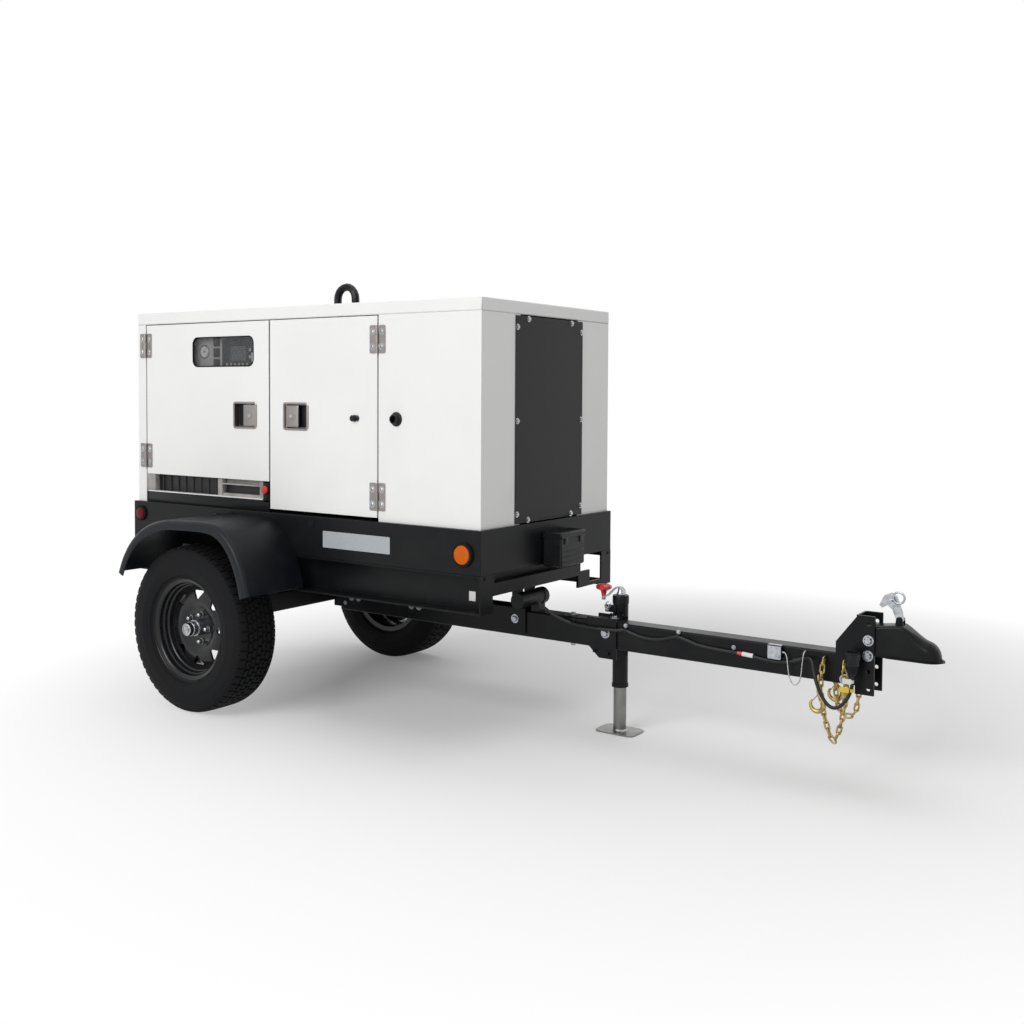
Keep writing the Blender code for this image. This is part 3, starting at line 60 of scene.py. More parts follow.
STUDS, STUD_CIRCLE = 5, 0.05715
RIM_WINDOWS = 8


# ---------------------------------------------------------------- finishes

class Wire:
    """An output socket that takes part in arithmetic as a number does."""

    def __init__(self, finish, socket):
        self.finish, self.socket = finish, socket

    def join(self, operation, first, second):
        return self.finish.node("ShaderNodeMath", {"operation": operation}, {0: first, 1: second})

    def __add__(self, other):
        return self.join("ADD", self, other)

    def __radd__(self, other):
        return self.join("ADD", other, self)

    def __sub__(self, other):
        return self.join("SUBTRACT", self, other)

    def __rsub__(self, other):
        return self.join("SUBTRACT", other, self)

    def __mul__(self, other):
        return self.join("MULTIPLY", self, other)

    def __rmul__(self, other):
        return self.join("MULTIPLY", other, self)

    def __gt__(self, other):
        return self.join("GREATER_THAN", self, other)

    def __lt__(self, other):
        return self.join("LESS_THAN", self, other)


class Finish:
    """A material being mixed: a shader and the nodes that feed it."""

    def __init__(self, name, colour, roughness, metallic=0.0, **own):
        self.material = bpy.data.materials.new(name)
        self.material.use_nodes = True
        self.tree = self.material.node_tree
        self.shader = self.tree.nodes["Principled BSDF"]
        self.feed(self.shader, {"Base Color": colour, "Roughness": roughness, "Metallic": metallic})
        self.feed(self.shader, {key.replace("_", " "): value for key, value in own.items()})
        self.place = self.node("ShaderNodeTexCoord", {}, {}, "Object")

    def node(self, kind, settings, sockets, out=0):
        """Adds a node: its settings first, then its sockets' values or links."""
        made = self.tree.nodes.new(kind)
        for name, value in settings.items():
            setattr(made, name, value)
        self.feed(made, sockets)
        return Wire(self, made.outputs[out])

    def feed(self, node, sockets):
        for key, value in sockets.items():
            socket = node.inputs[key]
            if isinstance(value, Wire):
                self.tree.links.new(value.socket, socket)
            elif socket.type == "RGBA" and len(value) == 3:
                socket.default_value = (*value, 1.0)
            else:
                socket.default_value = value

    def stretched(self, x, y, z):
        return self.node("ShaderNodeVectorMath", {"operation": "MULTIPLY"},
                         {0: self.place, 1: (x, y, z)})

    def axis(self, name):
        return self.node("ShaderNodeSeparateXYZ", {}, {0: self.place}, name)

    def noise(self, scale, detail=2.0, at=None):
        return self.node("ShaderNodeTexNoise", {},
                         {"Vector": at or self.place, "Scale": scale, "Detail": detail})

    def cells(self, scale, out="Distance", at=None):
        return self.node("ShaderNodeTexVoronoi", {}, {"Vector": at or self.place, "Scale": scale}, out)

    def span(self, value, low, high, start=0.0, end=1.0):
        """Maps low..high to start..end, held at both ends."""
        return self.node("ShaderNodeMapRange", {"clamp": True}, {0: value, 1: low, 2: high, 3: start, 4: end})

    def blend(self, factor, first, second):
        return self.node("ShaderNodeMix", {"data_type": "RGBA"}, {0: factor, 6: first, 7: second}, 2)

    def join_max(self, first, second):
        return self.node("ShaderNodeMath", {"operation": "MAXIMUM"}, {0: first, 1: second})

    def edges(self, radius):
        """1 along the corners of the shape, 0 on its open faces."""
        soft = self.node("ShaderNodeBevel", {"samples": 4}, {"Radius": radius})
        plain = self.node("ShaderNodeNewGeometry", {}, {}, "Normal")
        same = self.node("ShaderNodeVectorMath", {"operation": "DOT_PRODUCT"}, {0: soft, 1: plain}, "Value")
        return self.span(1 - same, 0.01, 0.22)

    def relief(self, height, distance):
        bump = self.node("ShaderNodeBump", {}, {"Height": height, "Distance": distance})
        self.feed(self.shader, {"Normal": bump})

    def vary(self, factor, first, second, smooth, rough):
        """Lets a mask choose between two colours and two roughnesses."""
        self.feed(self.shader, {"Base Color": self.blend(factor, first, second),
                                "Roughness": self.span(factor, 0.0, 1.0, smooth, rough)})


def painted(name, colour, roughness, dust, worn_and_highlit, **own):
    """Powder coat: fine orange peel, cloudy gloss, dust low down, and corners lightened partly as thin worn
    paint, partly as a painted highlight.
    """
    made = Finish(name, colour, roughness, **own)
    clouds = made.noise(3.2, 4.0)
    lighter = tuple(c * 1.035 + 0.0012 for c in colour)
    coat = made.blend(made.span(clouds, 0.3, 0.7), colour, lighter)
    low = made.span(made.axis("Z"), 0.50, 1.15, 1.0, 0.0)
    grime = low * made.span(made.noise(9.0, 6.0), 0.48, 0.80) * 0.22
    coat = made.blend(grime, coat, dust)
    # Lighter colour along the corners: partly worn paint, partly a painted highlight on the edges.
    wear_and_highlight = made.edges(0.0022) * made.span(made.noise(38.0, 3.0), 0.30, 0.75) * 0.35
    made.feed(made.shader, {"Base Color": made.blend(wear_and_highlight, coat, worn_and_highlit),
                            "Roughness": made.span(clouds, 0.2, 0.8, roughness - 0.05, roughness + 0.06)
                            + grime * 0.6})
    made.relief(made.noise(620.0, 1.0) + made.noise(90.0, 1.0) * 1.4, 0.00006)
    return made.material


def moulded(name, colour, roughness, grain=900.0, **own):
    """Moulded plastic with a fine leathery grain and faint handling marks."""
    made = Finish(name, colour, roughness, **own)
    marks = made.span(made.noise(14.0, 6.0), 0.45, 0.72)
    made.vary(marks, colour, tuple(c * 1.25 + 0.002 for c in colour), roughness - 0.04, roughness + 0.08)
    made.relief(made.cells(grain) + made.noise(grain * 0.5, 1.0) * 0.6, 0.00010)
    return made.material


def rubber():
    made = Finish("tyre_rubber", (0.0078, 0.0080, 0.0090), 0.78, Specular_IOR_Level=0.12)
    dust = made.span(made.noise(7.0, 6.0), 0.42, 0.75)
    fine = made.noise(260.0, 3.0)
    made.vary(dust * made.span(fine, 0.3, 0.7), (0.0072, 0.0075, 0.0086), (0.0165, 0.0160, 0.0158),
              0.70, 0.92)
    made.relief(fine + made.noise(900.0, 1.0) * 0.5, 0.00016)
    return made.material


def brushed(name, first, second, grain_way):
    """Bare steel with a grain along its length."""
    made = Finish(name, first, 0.34, 1.0)
    grain = made.noise(90.0, 3.0, made.stretched(*grain_way))
    smears = made.span(made.noise(20.0, 4.0), 0.35, 0.7)
    made.vary(grain * 0.6 + smears * 0.4, first, second, 0.26, 0.44)
    made.relief(grain, 0.00005)
    return made.material


def plated(name, first, second, scale, smooth, rough):
    """Plating with a spangle and a cloudy tint."""
    made = Finish(name, first, smooth, 1.0)
    spangle = made.cells(scale, "Color")
    tint = (made.node("ShaderNodeSeparateColor", {}, {0: spangle}, "Red") * 0.45
            + made.noise(scale * 0.35, 5.0) * 0.6)
    made.vary(made.span(tint, 0.25, 0.8), first, second, smooth, rough)
    made.relief(made.noise(scale * 4.0, 2.0), 0.00005)
    return made.material


def ribbed_lens(name, colour, deep):
    """A lamp lens with prisms moulded across it and a clear outer face."""
    made = Finish(name, colour, 0.30, Specular_IOR_Level=0.12)
    prisms = made.node("ShaderNodeTexWave", {"bands_direction": "Z"},
                       {"Vector": made.place, "Scale": 95.0, "Distortion": 0.6, "Detail": 1.0})
    made.vary(made.span(prisms, 0.1, 0.9), colour, deep, 0.12, 0.26)
    made.relief(prisms + made.cells(160.0), 0.0004)
    return made.material


def pane():
    """Clear acrylic that lets the panel behind it show, with a film of dust."""
    made = Finish("window_acrylic", (0.10, 0.105, 0.11), 0.07, Coat_Weight=0.6, Coat_Roughness=0.03)
    film = made.span(made.noise(11.0, 6.0), 0.40, 0.75)
    glance = made.node("ShaderNodeLayerWeight", {}, {"Blend": 0.35}, "Fresnel")
    made.feed(made.shader, {"Alpha": 0.05 + glance * 0.28 + film * 0.03,
                            "Roughness": made.span(film, 0.0, 1.0, 0.05, 0.16)})
    return made.material


def finned():
    """A radiator core: fine fins between tubes."""
    made = Finish("radiator_core", (0.30, 0.31, 0.32), 0.42, 1.0)
    fins = made.node("ShaderNodeTexWave", {"bands_direction": "Z"},
                     {"Vector": made.place, "Scale": 130.0, "Distortion": 0.3})
    tubes = made.node("ShaderNodeTexWave", {"bands_direction": "Y"}, {"Vector": made.place, "Scale": 26.0})
    made.vary(made.span(fins * tubes, 0.1, 0.7), (0.10, 0.10, 0.105), (0.42, 0.43, 0.44), 0.55, 0.36)
    made.relief(fins + tubes * 0.8, 0.0006)
    return made.material


def cast():
    made = Finish("cast_alloy", (0.30, 0.30, 0.30), 0.55, 0.9)
    made.vary(made.span(made.noise(22.0, 6.0), 0.35, 0.7), (0.36, 0.36, 0.355), (0.17, 0.165, 0.16),
              0.45, 0.7)
    made.relief(made.noise(240.0, 3.0), 0.0004)
    return made.material


def stranded(name, colour, metallic, roughness):
    """Twisted wire: a slanted lay along the rope."""
    made = Finish(name, colour, roughness, metallic)
    lay = made.node("ShaderNodeTexWave", {"bands_direction": "DIAGONAL"},
                    {"Vector": made.place, "Scale": 260.0, "Distortion": 0.4})
    made.vary(made.span(lay, 0.1, 0.9), tuple(c * 0.45 for c in colour), colour, roughness + 0.15, roughness)
    made.relief(lay, 0.0003)
    return made.material


def smooth_gloss(name, colour, roughness, **own):
    """A plain glossy part, with the faint smears of handling."""
    made = Finish(name, colour, roughness, **own)
    smears = made.span(made.noise(30.0, 5.0), 0.35, 0.7)
    made.vary(smears, colour, tuple(c * 0.88 for c in colour), roughness, roughness + 0.09)
    made.relief(made.noise(180.0, 1.0), 0.00003)
    return made.material


def reflective_film():
    """White reflective film with the honeycomb that is moulded behind its face."""
    made = Finish("reflective_film", (0.450, 0.465, 0.480), 0.3, Coat_Weight=0.2)
    comb = made.cells(210.0)
    made.vary(made.span(comb, 0.25, 0.55), (0.450, 0.465, 0.480), (0.370, 0.385, 0.400), 0.25, 0.4)
    made.relief(comb, 0.0001)
    return made.material


def dial_face():
    """A gauge's card: pale, with a ring of plain tick marks."""
    made = Finish("dial_card", (0.72, 0.72, 0.70), 0.5)
    ticks = made.node("ShaderNodeTexWave", {"wave_type": "RINGS", "rings_direction": "Y"},
                      {"Vector": made.place, "Scale": 40.0})
    made.vary(made.span(ticks, 0.86, 0.92), (0.70, 0.70, 0.68), (0.12, 0.12, 0.12), 0.5, 0.55)
    return made.material


def sheet_interior():
    made = Finish("interior_sheet", (0.36, 0.345, 0.325), 0.5)
    grime = made.span(made.noise(16.0, 6.0), 0.4, 0.75)
    made.vary(grime, (0.40, 0.385, 0.365), (0.20, 0.19, 0.18), 0.45, 0.62)
    made.relief(made.noise(300.0, 1.0), 0.00006)
    return made.material


WHITE = painted("white_powder_coat", (0.830, 0.828, 0.822), 0.34, (0.60, 0.58, 0.54), (0.87, 0.868, 0.862),
                Specular_IOR_Level=0.40)
BLACK = painted("black_powder_coat", (0.0050, 0.0054, 0.0064), 0.30, (0.030, 0.029, 0.027),
                (0.030, 0.031, 0.034), Specular_IOR_Level=0.16)
WHEEL_BLACK = painted("wheel_enamel", (0.0052, 0.0056, 0.0068), 0.20, (0.024, 0.023, 0.022),
                      (0.028, 0.029, 0.032), Specular_IOR_Level=0.34)
COVER_GREY = painted("grey_powder_coat", (0.0150, 0.0150, 0.0156), 0.42, (0.050, 0.047, 0.044),
                     (0.05, 0.05, 0.05), Specular_IOR_Level=0.20)
PANEL_GREY = painted("panel_enamel", (0.360, 0.355, 0.350), 0.45, (0.34, 0.33, 0.31), (0.42, 0.42, 0.42))
RUBBER = rubber()
GUARD = moulded("guard_plastic", (0.0058, 0.0070, 0.0095), 0.40, Specular_IOR_Level=0.20)
BLACK_PLASTIC = moulded("black_plastic", (0.0075, 0.0080, 0.0090), 0.40, Specular_IOR_Level=0.24)
CABLE = moulded("cable_sheath", (0.0085, 0.0085, 0.0092), 0.5, 1400.0, Specular_IOR_Level=0.35)
STAINLESS = brushed("brushed_stainless", (0.335, 0.310, 0.295), (0.235, 0.220, 0.210), (0.7, 0.7, 14.0))
DRAWN = brushed("drawn_steel", (0.30, 0.30, 0.285), (0.16, 0.16, 0.155), (14.0, 14.0, 0.5))
ZINC = plated("bright_zinc", (0.52, 0.53, 0.55), (0.30, 0.32, 0.35), 85.0, 0.26, 0.44)
GOLD = plated("yellow_zinc", (0.55, 0.42, 0.16), (0.30, 0.22, 0.08), 70.0, 0.28, 0.48)
CHROME = plated("chrome_plate", (0.52, 0.52, 0.53), (0.34, 0.345, 0.36), 40.0, 0.12, 0.28)
RED = moulded("red_plastic", (0.52, 0.014, 0.016), 0.34, 500.0, Coat_Weight=0.3)
AMBER_LENS = ribbed_lens("amber_lens", (0.66, 0.138, 0.003), (0.52, 0.082, 0.002))
RED_LENS = ribbed_lens("red_lens", (0.17, 0.004, 0.005), (0.07, 0.002, 0.003))
PANE = pane()
CORE = finned()
CAST = cast()
TANK = moulded("tank_plastic", (0.030, 0.030, 0.031), 0.5, 260.0)
ROPE = stranded("steel_rope", (0.62, 0.63, 0.64), 1.0, 0.34)
FILM = reflective_film()
DISPLAY = smooth_gloss("display_glass", (0.020, 0.030, 0.028), 0.08, Coat_Weight=1.0)
SHELL = smooth_gloss("controller_shell", (0.012, 0.012, 0.013), 0.36, Specular_IOR_Level=0.3)
DIAL = dial_face()
INTERIOR = sheet_interior()
YELLOW_TAG = smooth_gloss("yellow_tag", (0.72, 0.50, 0.03), 0.4)
WHITE_TAG = smooth_gloss("white_tag", (0.72, 0.72, 0.70), 0.4)


# ---------------------------------------------------------------- shapes

def full_turn(count):
    """The angles of one turn in equal steps."""
    return [2 * math.pi * i / count for i in range(count)]


def placed(axis, u, a, b):
    """A point at u along an axis, with a and b on the other two."""
    return Vector({"X": (u, a, b), "Y": (a, u, b), "Z": (a, b, u)}[axis])


def meshed(name, bm):
    """Moves a bmesh into a mesh of its own."""
    mesh = bpy.data.meshes.new(name)
    bm.to_mesh(mesh)
    bm.free()
    return mesh


def add(name, data):
    """Puts an object into the scene."""
    made = bpy.data.objects.new(name, data)
    bpy.context.scene.collection.objects.link(made)
    return made


def loft(bm, rings, closed=False):
    """Skins a run of rings that have the same number of points."""
    made = [[bm.verts.new(point) for point in ring] for ring in rings]
    for here, after in zip(made, made[1:] + (made[:1] if closed else [])):
        for i in range(len(here)):
            j = (i + 1) % len(here)
            bm.faces.new((here[i], here[j], after[j], after[i]))
    if not closed:
        bm.faces.new(made[0][::-1])
        bm.faces.new(made[-1])


def turned(bm, profile, axis, centre, sides=48, closed=False):
    """Turns a profile of (along, radius) pairs about an axis through centre."""
    centre, turns = Vector(centre), full_turn(sides)
    rings = [[centre + placed(axis, u, r * math.cos(t), r * math.sin(t)) for t in turns] for u, r in profile]
    loft(bm, rings, closed=closed)


def turned_out(bm, profile, side, centre, sides, closed=False):
    """Turns a profile about Y, with its first numbers measured outwards on one side."""
    turned(bm, [(side * u, r) for u, r in profile], "Y", centre, sides, closed)


def tube(bm, path, radius, sides=10, closed=False):
    """A round bar along a path, with one radius or one for each point."""
    path = [Vector(p) for p in path]
    count = len(path)
    radii = radius if isinstance(radius, list) else [radius] * count
    rings, across = [], None
    for i, point in enumerate(path):
        before = path[i - 1] if closed or i else path[0]
        after = path[(i + 1) % count] if closed or i < count - 1 else path[-1]
        way = (after - before).normalized()
        across = way.orthogonal() if across is None else across - across.dot(way) * way
        across.normalize()
        other = way.cross(across)
        rings.append([point + radii[i] * (math.cos(t) * across + math.sin(t) * other)
                      for t in full_turn(sides)])
    loft(bm, rings, closed=closed)


def pushed(bm, outline, axis, start, end):
    """Pushes an outline along an axis: (x, z) across Y, (y, z) across X, (x, y) across Z."""
    loft(bm, [[placed(axis, u, a, b) for a, b in outline] for u in (start, end)])


def stacked(bm, side, steps):
    """Skins outlines in X and Z, each at its own distance out to one side."""
    loft(bm, [[Vector((a, side * y, b)) for a, b in outline] for outline, y in steps])


def box(bm, low, high, bevel=0.0):
    """A box with its edges rounded off."""
    low, high = Vector(low), Vector(high)
    size = Vector([abs(b - a) for a, b in zip(low, high)])
    made = bmesh.ops.create_cube(bm, size=1.0, matrix=Matrix.Translation((low + high) / 2)
                                 @ Matrix.Diagonal((*size, 1.0)))["verts"]
    if bevel:
        edges = list({edge for vert in made for edge in vert.link_edges})
        bmesh.ops.bevel(bm, geom=edges, offset=bevel, segments=2, profile=0.5, affect="EDGES")


def rounded(low, high, radius, steps=5):
    """A rectangle's outline with round corners."""
    outline = []
    for x, z, start in ((high[0], high[1], 0), (low[0], high[1], 90),
                        (low[0], low[1], 180), (high[0], low[1], 270)):
        a = x - math.copysign(radius, x - (low[0] + high[0]) / 2)
        b = z - math.copysign(radius, z - (low[1] + high[1]) / 2)
        for i in range(steps + 1):
            turn = math.radians(start + 90 * i / steps)
            outline.append((a + radius * math.cos(turn), b + radius * math.sin(turn)))
    return outline


def ringed(bm, outer, inner, axis, start, end):
    """A flat frame between two outlines that have the same number of points."""
    rings = [[placed(axis, u, a, b) for a, b in outline]
             for outline, u in ((outer, start), (outer, end), (inner, end), (inner, start))]
    loft(bm, rings, closed=True)


def bolt(bm, at, way, across, height, washer=0.0014, socket=False):
    """A bolt head with its washer: a hexagon, or a round button with a hexagon socket."""
    turn = Matrix.Translation(at) @ Vector(way).to_track_quat("Z", "Y").to_matrix().to_4x4()

    def ring(radius, up, sides):
        return [turn @ Vector((radius * math.cos(t), radius * math.sin(t), up)) for t in full_turn(sides)]

    if washer:
        loft(bm, [ring(across * 0.86, -0.0004, 24), ring(across * 0.88, washer, 24)])
    if socket:
        steps = [(0.50, 0.0), (0.50, 0.25), (0.44, 0.62), (0.32, 0.9), (0.24, 1.0), (0.22, 1.0), (0.20, 0.45)]
        loft(bm, [ring(across * r, washer + height * u, 18) for r, u in steps])
    else:
        corner = across / math.sqrt(3)
        loft(bm, [ring(corner, washer * 0.5, 6), ring(corner, washer + height * 0.82, 6),
                  ring(corner * 0.86, washer + height, 6)])


def smooth_path(points, steps):
    """Points on the Catmull-Rom curve through a route, this many to each stretch."""
    route = [Vector(p) for p in points]
    ends = [2 * route[0] - route[1]] + route + [2 * route[-1] - route[-2]]
    path = []
    for a, b, c, d in zip(ends, ends[1:], ends[2:], ends[3:]):
        for i in range(steps):
            t = i / steps
            path.append(0.5 * (2 * b + (c - a) * t + (2 * a - 5 * b + 4 * c - d) * t ** 2
                               + (3 * b - a - 3 * c + d) * t ** 3))
    return path + [route[-1]]


def piece(name, bm, finish, body="trailer", stands_for=(), bevel=0.0, sharp=35):
    """Turns a bmesh into a named piece that rides on a body."""
    bmesh.ops.translate(bm, vec=(AXLE, 0, 0), verts=bm.verts)
    bmesh.ops.recalc_face_normals(bm, faces=bm.faces)
    mesh = meshed(name, bm)
    mesh.shade_smooth()
    mesh.set_sharp_from_angle(angle=math.radians(sharp))
    mesh.materials.append(finish)
    made = add(name, mesh)
    if bevel:
        soften(made, bevel)
    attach(made, body)
    if stands_for:
        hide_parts(*stands_for)
    return made


def soften(made, width):
    """Rounds the sharp edges a little, so that they catch the light."""
    weld = made.modifiers.new("join", "WELD")
    weld.merge_threshold = 0.00002
    bevel = made.modifiers.new("edge", "BEVEL")
    bevel.width = width
    bevel.segments = 2
    bevel.limit_method = "ANGLE"
    bevel.angle_limit = math.radians(38)
    bevel.use_clamp_overlap = True
    bevel.harden_normals = False
    shade = made.modifiers.new("shade", "WEIGHTED_NORMAL")
    shade.keep_sharp = False
    shade.weight = 80


# ---------------------------------------------------------------- camera and cords

def camera():
    """The viewing angle: low, ahead of the coupler's near side, about five metres away."""
    data = bpy.data.cameras.new("camera")
    data.sensor_width = 36.0
    data.lens = 39.913
    data.shift_x, data.shift_y = -0.0368, -0.0739
    data.clip_start, data.clip_end = 0.1, 100.0
    made = add("camera", data)
    yaw, pitch, roll = (math.radians(a) for a in (33.594, -2.076, 0.376))
    ahead = Vector((-math.sin(yaw) * math.cos(pitch), math.cos(yaw) * math.cos(pitch), math.sin(pitch)))
    right = Vector((math.cos(yaw), math.sin(yaw), 0.0))
    up = right.cross(ahead)
    level = math.cos(roll) * right + math.sin(roll) * up
    raised = -math.sin(roll) * right + math.cos(roll) * up
    made.matrix_world = Matrix.Translation((3.733 + AXLE, -3.665, 1.293)) @ Matrix(
        (level, raised, -ahead)).transposed().to_4x4()
    bpy.context.scene.camera = made


HARNESS_Y = -0.0455
TRAILER_CABLE = [(2.3406, HARNESS_Y, 0.4102), (2.360, HARNESS_Y, 0.417), (2.378, -0.051, 0.419),
                 (2.395, -0.069, 0.411), (2.409, -0.089, 0.386), (2.423, -0.097, 0.350),
                 (2.440, -0.100, 0.316), (2.459, -0.102, 0.292), (2.481, -0.103, 0.282),
                 (2.505, -0.100, 0.292), (2.526, -0.095, 0.320), (2.537, -0.091, 0.352),
                 (2.538, -0.090, 0.372), (2.538, -0.090, 0.3921)]
BREAKAWAY_CABLE = [(2.2808, -0.047, 0.428), (2.290, -0.0475, 0.428), (2.301, -0.055, 0.414),
                   (2.308, -0.061, 0.380), (2.316, -0.064, 0.346), (2.331, -0.065, 0.328),
                   (2.347, -0.065, 0.336), (2.355, -0.064, 0.364), (2.358, -0.062, 0.400),
                   (2.360, -0.057, 0.430), (2.360, -0.048, 0.440), (2.360, -0.0384, 0.440)]


def free_cable(name, route, radius, finish, node):
    """A round cable along its route, as one open spline."""
    curve = bpy.data.curves.new(name, "CURVE")
    curve.dimensions = "3D"
    curve.bevel_depth = radius
    curve.bevel_resolution = 4
    curve.use_fill_caps = True
    path = smooth_path(route, 3)
    spline = curve.splines.new("POLY")
    spline.points.add(len(path) - 1)
    for spot, place in zip(spline.points, path):
        spot.co = (place.x + AXLE, place.y, place.z, 1.0)
    curve.materials.append(finish)
    made = add(name, curve)
    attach(made, "trailer")
    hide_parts(node)
    length = sum((b - a).length for a, b in zip(path, path[1:]))
    return made, length


def round_plug():
    """The round trailer plug: a ribbed grip, a shell with its hinged cap's lugs, and its clip."""
    x, y = 2.538, -0.090
    bm = bmesh.new()
    profile = [(0.3924, 0.0075), (0.3924, 0.0105), (0.396, 0.0112)]
    for i in range(5):
        z = 0.398 + 0.0052 * i
        grow = 0.0115 + 0.0014 * i
        profile += [(z, grow), (z + 0.0006, grow + 0.0011),
                    (z + 0.0030, grow + 0.0013), (z + 0.0036, grow + 0.0003)]
    profile += [(0.4245, 0.0190), (0.4262, 0.0212), (0.4300, 0.0222), (0.4640, 0.0224), (0.4655, 0.0212),
                (0.4660, 0.0224), (0.4700, 0.0221), (0.4700, 0.0185), (0.4480, 0.0180), (0.4480, 0.0020)]
    turned(bm, profile, "Z", (x, y, 0), 40)
    box(bm, (x - 0.016, y + 0.0185, 0.437), (x + 0.016, -0.0464, 0.457), 0.0015)
    for turn in range(3):
        a = 2 * math.pi * (turn + 0.25) / 3
        box(bm, (x + 0.0200 * math.cos(a) - 0.003, y + 0.0200 * math.sin(a) - 0.003, 0.433),
            (x + 0.0200 * math.cos(a) + 0.003, y + 0.0200 * math.sin(a) + 0.003, 0.460), 0.001)
    box(bm, (x - 0.004, y - 0.0245, 0.4640), (x + 0.004, y - 0.019, 0.4697), 0.001)
    plug = piece("round_plug", bm, BLACK_PLASTIC, stands_for=("trailer_plug",))
    bm = bmesh.new()
    turned(bm, [(0.4484, 0.0020), (0.4484, 0.0034), (0.4640, 0.0034), (0.4650, 0.0022)], "Z", (x, y, 0), 12)
    for i in range(6):
        a = 2 * math.pi * i / 6
        box(bm, (x + 0.011 * math.cos(a) - 0.0022, y + 0.011 * math.sin(a) - 0.0008, 0.4482),
            (x + 0.011 * math.cos(a) + 0.0022, y + 0.011 * math.sin(a) + 0.0008, 0.4630))
    pins = piece("plug_contacts", bm, CHROME)
    return plug, pins


def tags():
    """Two blank tags folded round the trailer cable."""
    made = []
    x = 2.5375
    for name, finish, y, z, turn in (("cable_tag_white", WHITE_TAG, -0.0905, 0.374, 0.20),
                                     ("cable_tag_yellow", YELLOW_TAG, -0.0915, 0.345, -0.15)):
        bm = bmesh.new()
        tube(bm, [(x, y, z - 0.005), (x, y, z + 0.005)], 0.0068, 16)
        flap = [(x - 0.004 + turn * 0.02, -0.0965), (x - 0.034 + turn * 0.03, -0.0990),
                (x - 0.034 + turn * 0.03, -0.0998), (x - 0.004 + turn * 0.02, -0.0978)]
        pushed(bm, flap, "Z", z - 0.0085, z + 0.0085)
        made.append(piece(name, bm, finish))
    return made


def boot(name, start, end, first, last, finish):
    """A tapered sleeve where a cable leaves its loom or its box."""
    bm = bmesh.new()
    start, end = Vector(start), Vector(end)
    steps = 7
    path, radii = [], []
    for i in range(steps * 2):
        share = i / (steps * 2 - 1)
        path.append(start.lerp(end, share))
        radii.append(first + (last - first) * share + (0.0006 if i % 2 else 0.0))
    tube(bm, path, radii, 16)
    return piece(name, bm, finish)


def cords():
    """The trailer cable with its plug, and the breakaway switch's wire rope."""
    plug, pins = round_plug()
    exit_boot = boot("loom_boot", (2.322, HARNESS_Y, 0.4035), (2.352, HARNESS_Y, 0.4142),
                     0.0086, 0.0068, CABLE)
    cable, length = free_cable("trailer_cord", TRAILER_CABLE, 0.006, CABLE, "trailer_cable")
    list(tags())
    rope, length = free_cable("breakaway_rope", BREAKAWAY_CABLE, 0.002, ROPE, "breakaway_cable")
    bm = bmesh.new()
    tube(bm, [(2.2804, -0.047, 0.428), (2.289, -0.0474, 0.428)], 0.0034, 12)
    tube(bm, [(2.3600, -0.0520, 0.4362), (2.3600, -0.0384, 0.4400)], 0.0034, 12)
    ferrules = piece("rope_ferrules", bm, ZINC)


# ---------------------------------------------------------------- wheels

CROWN = [(0.0, 0.3379), (0.050, 0.3375), (0.066, 0.3364), (0.078, 0.3340), (0.087, 0.3292), (0.0945, 0.3190)]


def crown(y):
    """The tread's radius at a distance from the tyre's middle."""
    y = abs(y)
    for (a, low), (b, high) in zip(CROWN, CROWN[1:]):
        if y <= b:
            return low + (high - low) * (y - a) / (b - a)
    return CROWN[-1][1]


def tyre(side, name):
    """A road tyre: a bulged carcass with rings on its walls, under staggered tread blocks."""
    bm = bmesh.new()
    wall = [(0.0745, 0.1932), (0.0822, 0.2090), (0.0842, 0.2135), (0.0905, 0.2190), (0.0930, 0.2202),
            (0.0938, 0.2240), (0.0975, 0.2330), (0.1005, 0.2450), (0.1018, 0.2530), (0.1024, 0.2560),
            (0.1024, 0.2600), (0.1016, 0.2625), (0.1014, 0.2760), (0.1000, 0.2900), (0.0988, 0.2960),
            (0.0990, 0.2985), (0.0978, 0.3010), (0.0950, 0.3090), (0.0928, 0.3150), (0.0890, 0.3222),
            (0.0830, 0.3262), (0.0600, 0.3292), (0.0300, 0.3302)]
    lining = [(0.0650, 0.1932), (0.0925, 0.2560), (0.0800, 0.3200)]
    profile = wall + [(0.0, 0.3304)] + [(-u, r) for u, r in reversed(wall)]
    profile += [(-u, r) for u, r in lining] + lining[::-1]
    turned(bm, profile, "Y", (0, side * WHEEL_Y, WHEEL_Z), 144, closed=True)
    pitches = 112
    rows = [(-0.0095, 0.0095, 0.00), (0.0135, 0.0315, 0.50), (0.0355, 0.0555, 0.15), (0.0605, 0.0890, 0.60)]
    rows += [(-high, -low, shift + 0.35) for low, high, shift in rows[1:]]
    for low, high, shift in rows:
        stations = [low, high] if abs(high) < 0.06 and abs(low) < 0.06 else (
            [0.0605, 0.072, 0.082, 0.089] if low > 0 else [-0.089, -0.082, -0.072, -0.0605])
        for i in range(pitches):
            rings = []
            for y in stations:
                slant = 0.35 if (i + (1 if low < 0 else 0)) % 2 else -0.12
                lean = slant * (y - low) / (high - low)
                a0 = 2 * math.pi * (i + shift + lean) / pitches
                a1 = a0 + 2 * math.pi * (0.80 if len(stations) > 2 else 0.72) / pitches
                deep, top, ease = crown(y) - 0.0100, crown(y) - 0.0002, 0.0022
                rings.append([Vector((r * math.cos(a), side * (WHEEL_Y + y), WHEEL_Z + r * math.sin(a)))
                              for a, r in ((a0 - ease, deep), (a1 + ease, deep), (a1, top), (a0, top))])
            loft(bm, rings)
    return piece(f"road_tyre_{name}", bm, RUBBER, f"wheel_{name}", (f"tyre_{name}",), sharp=32)


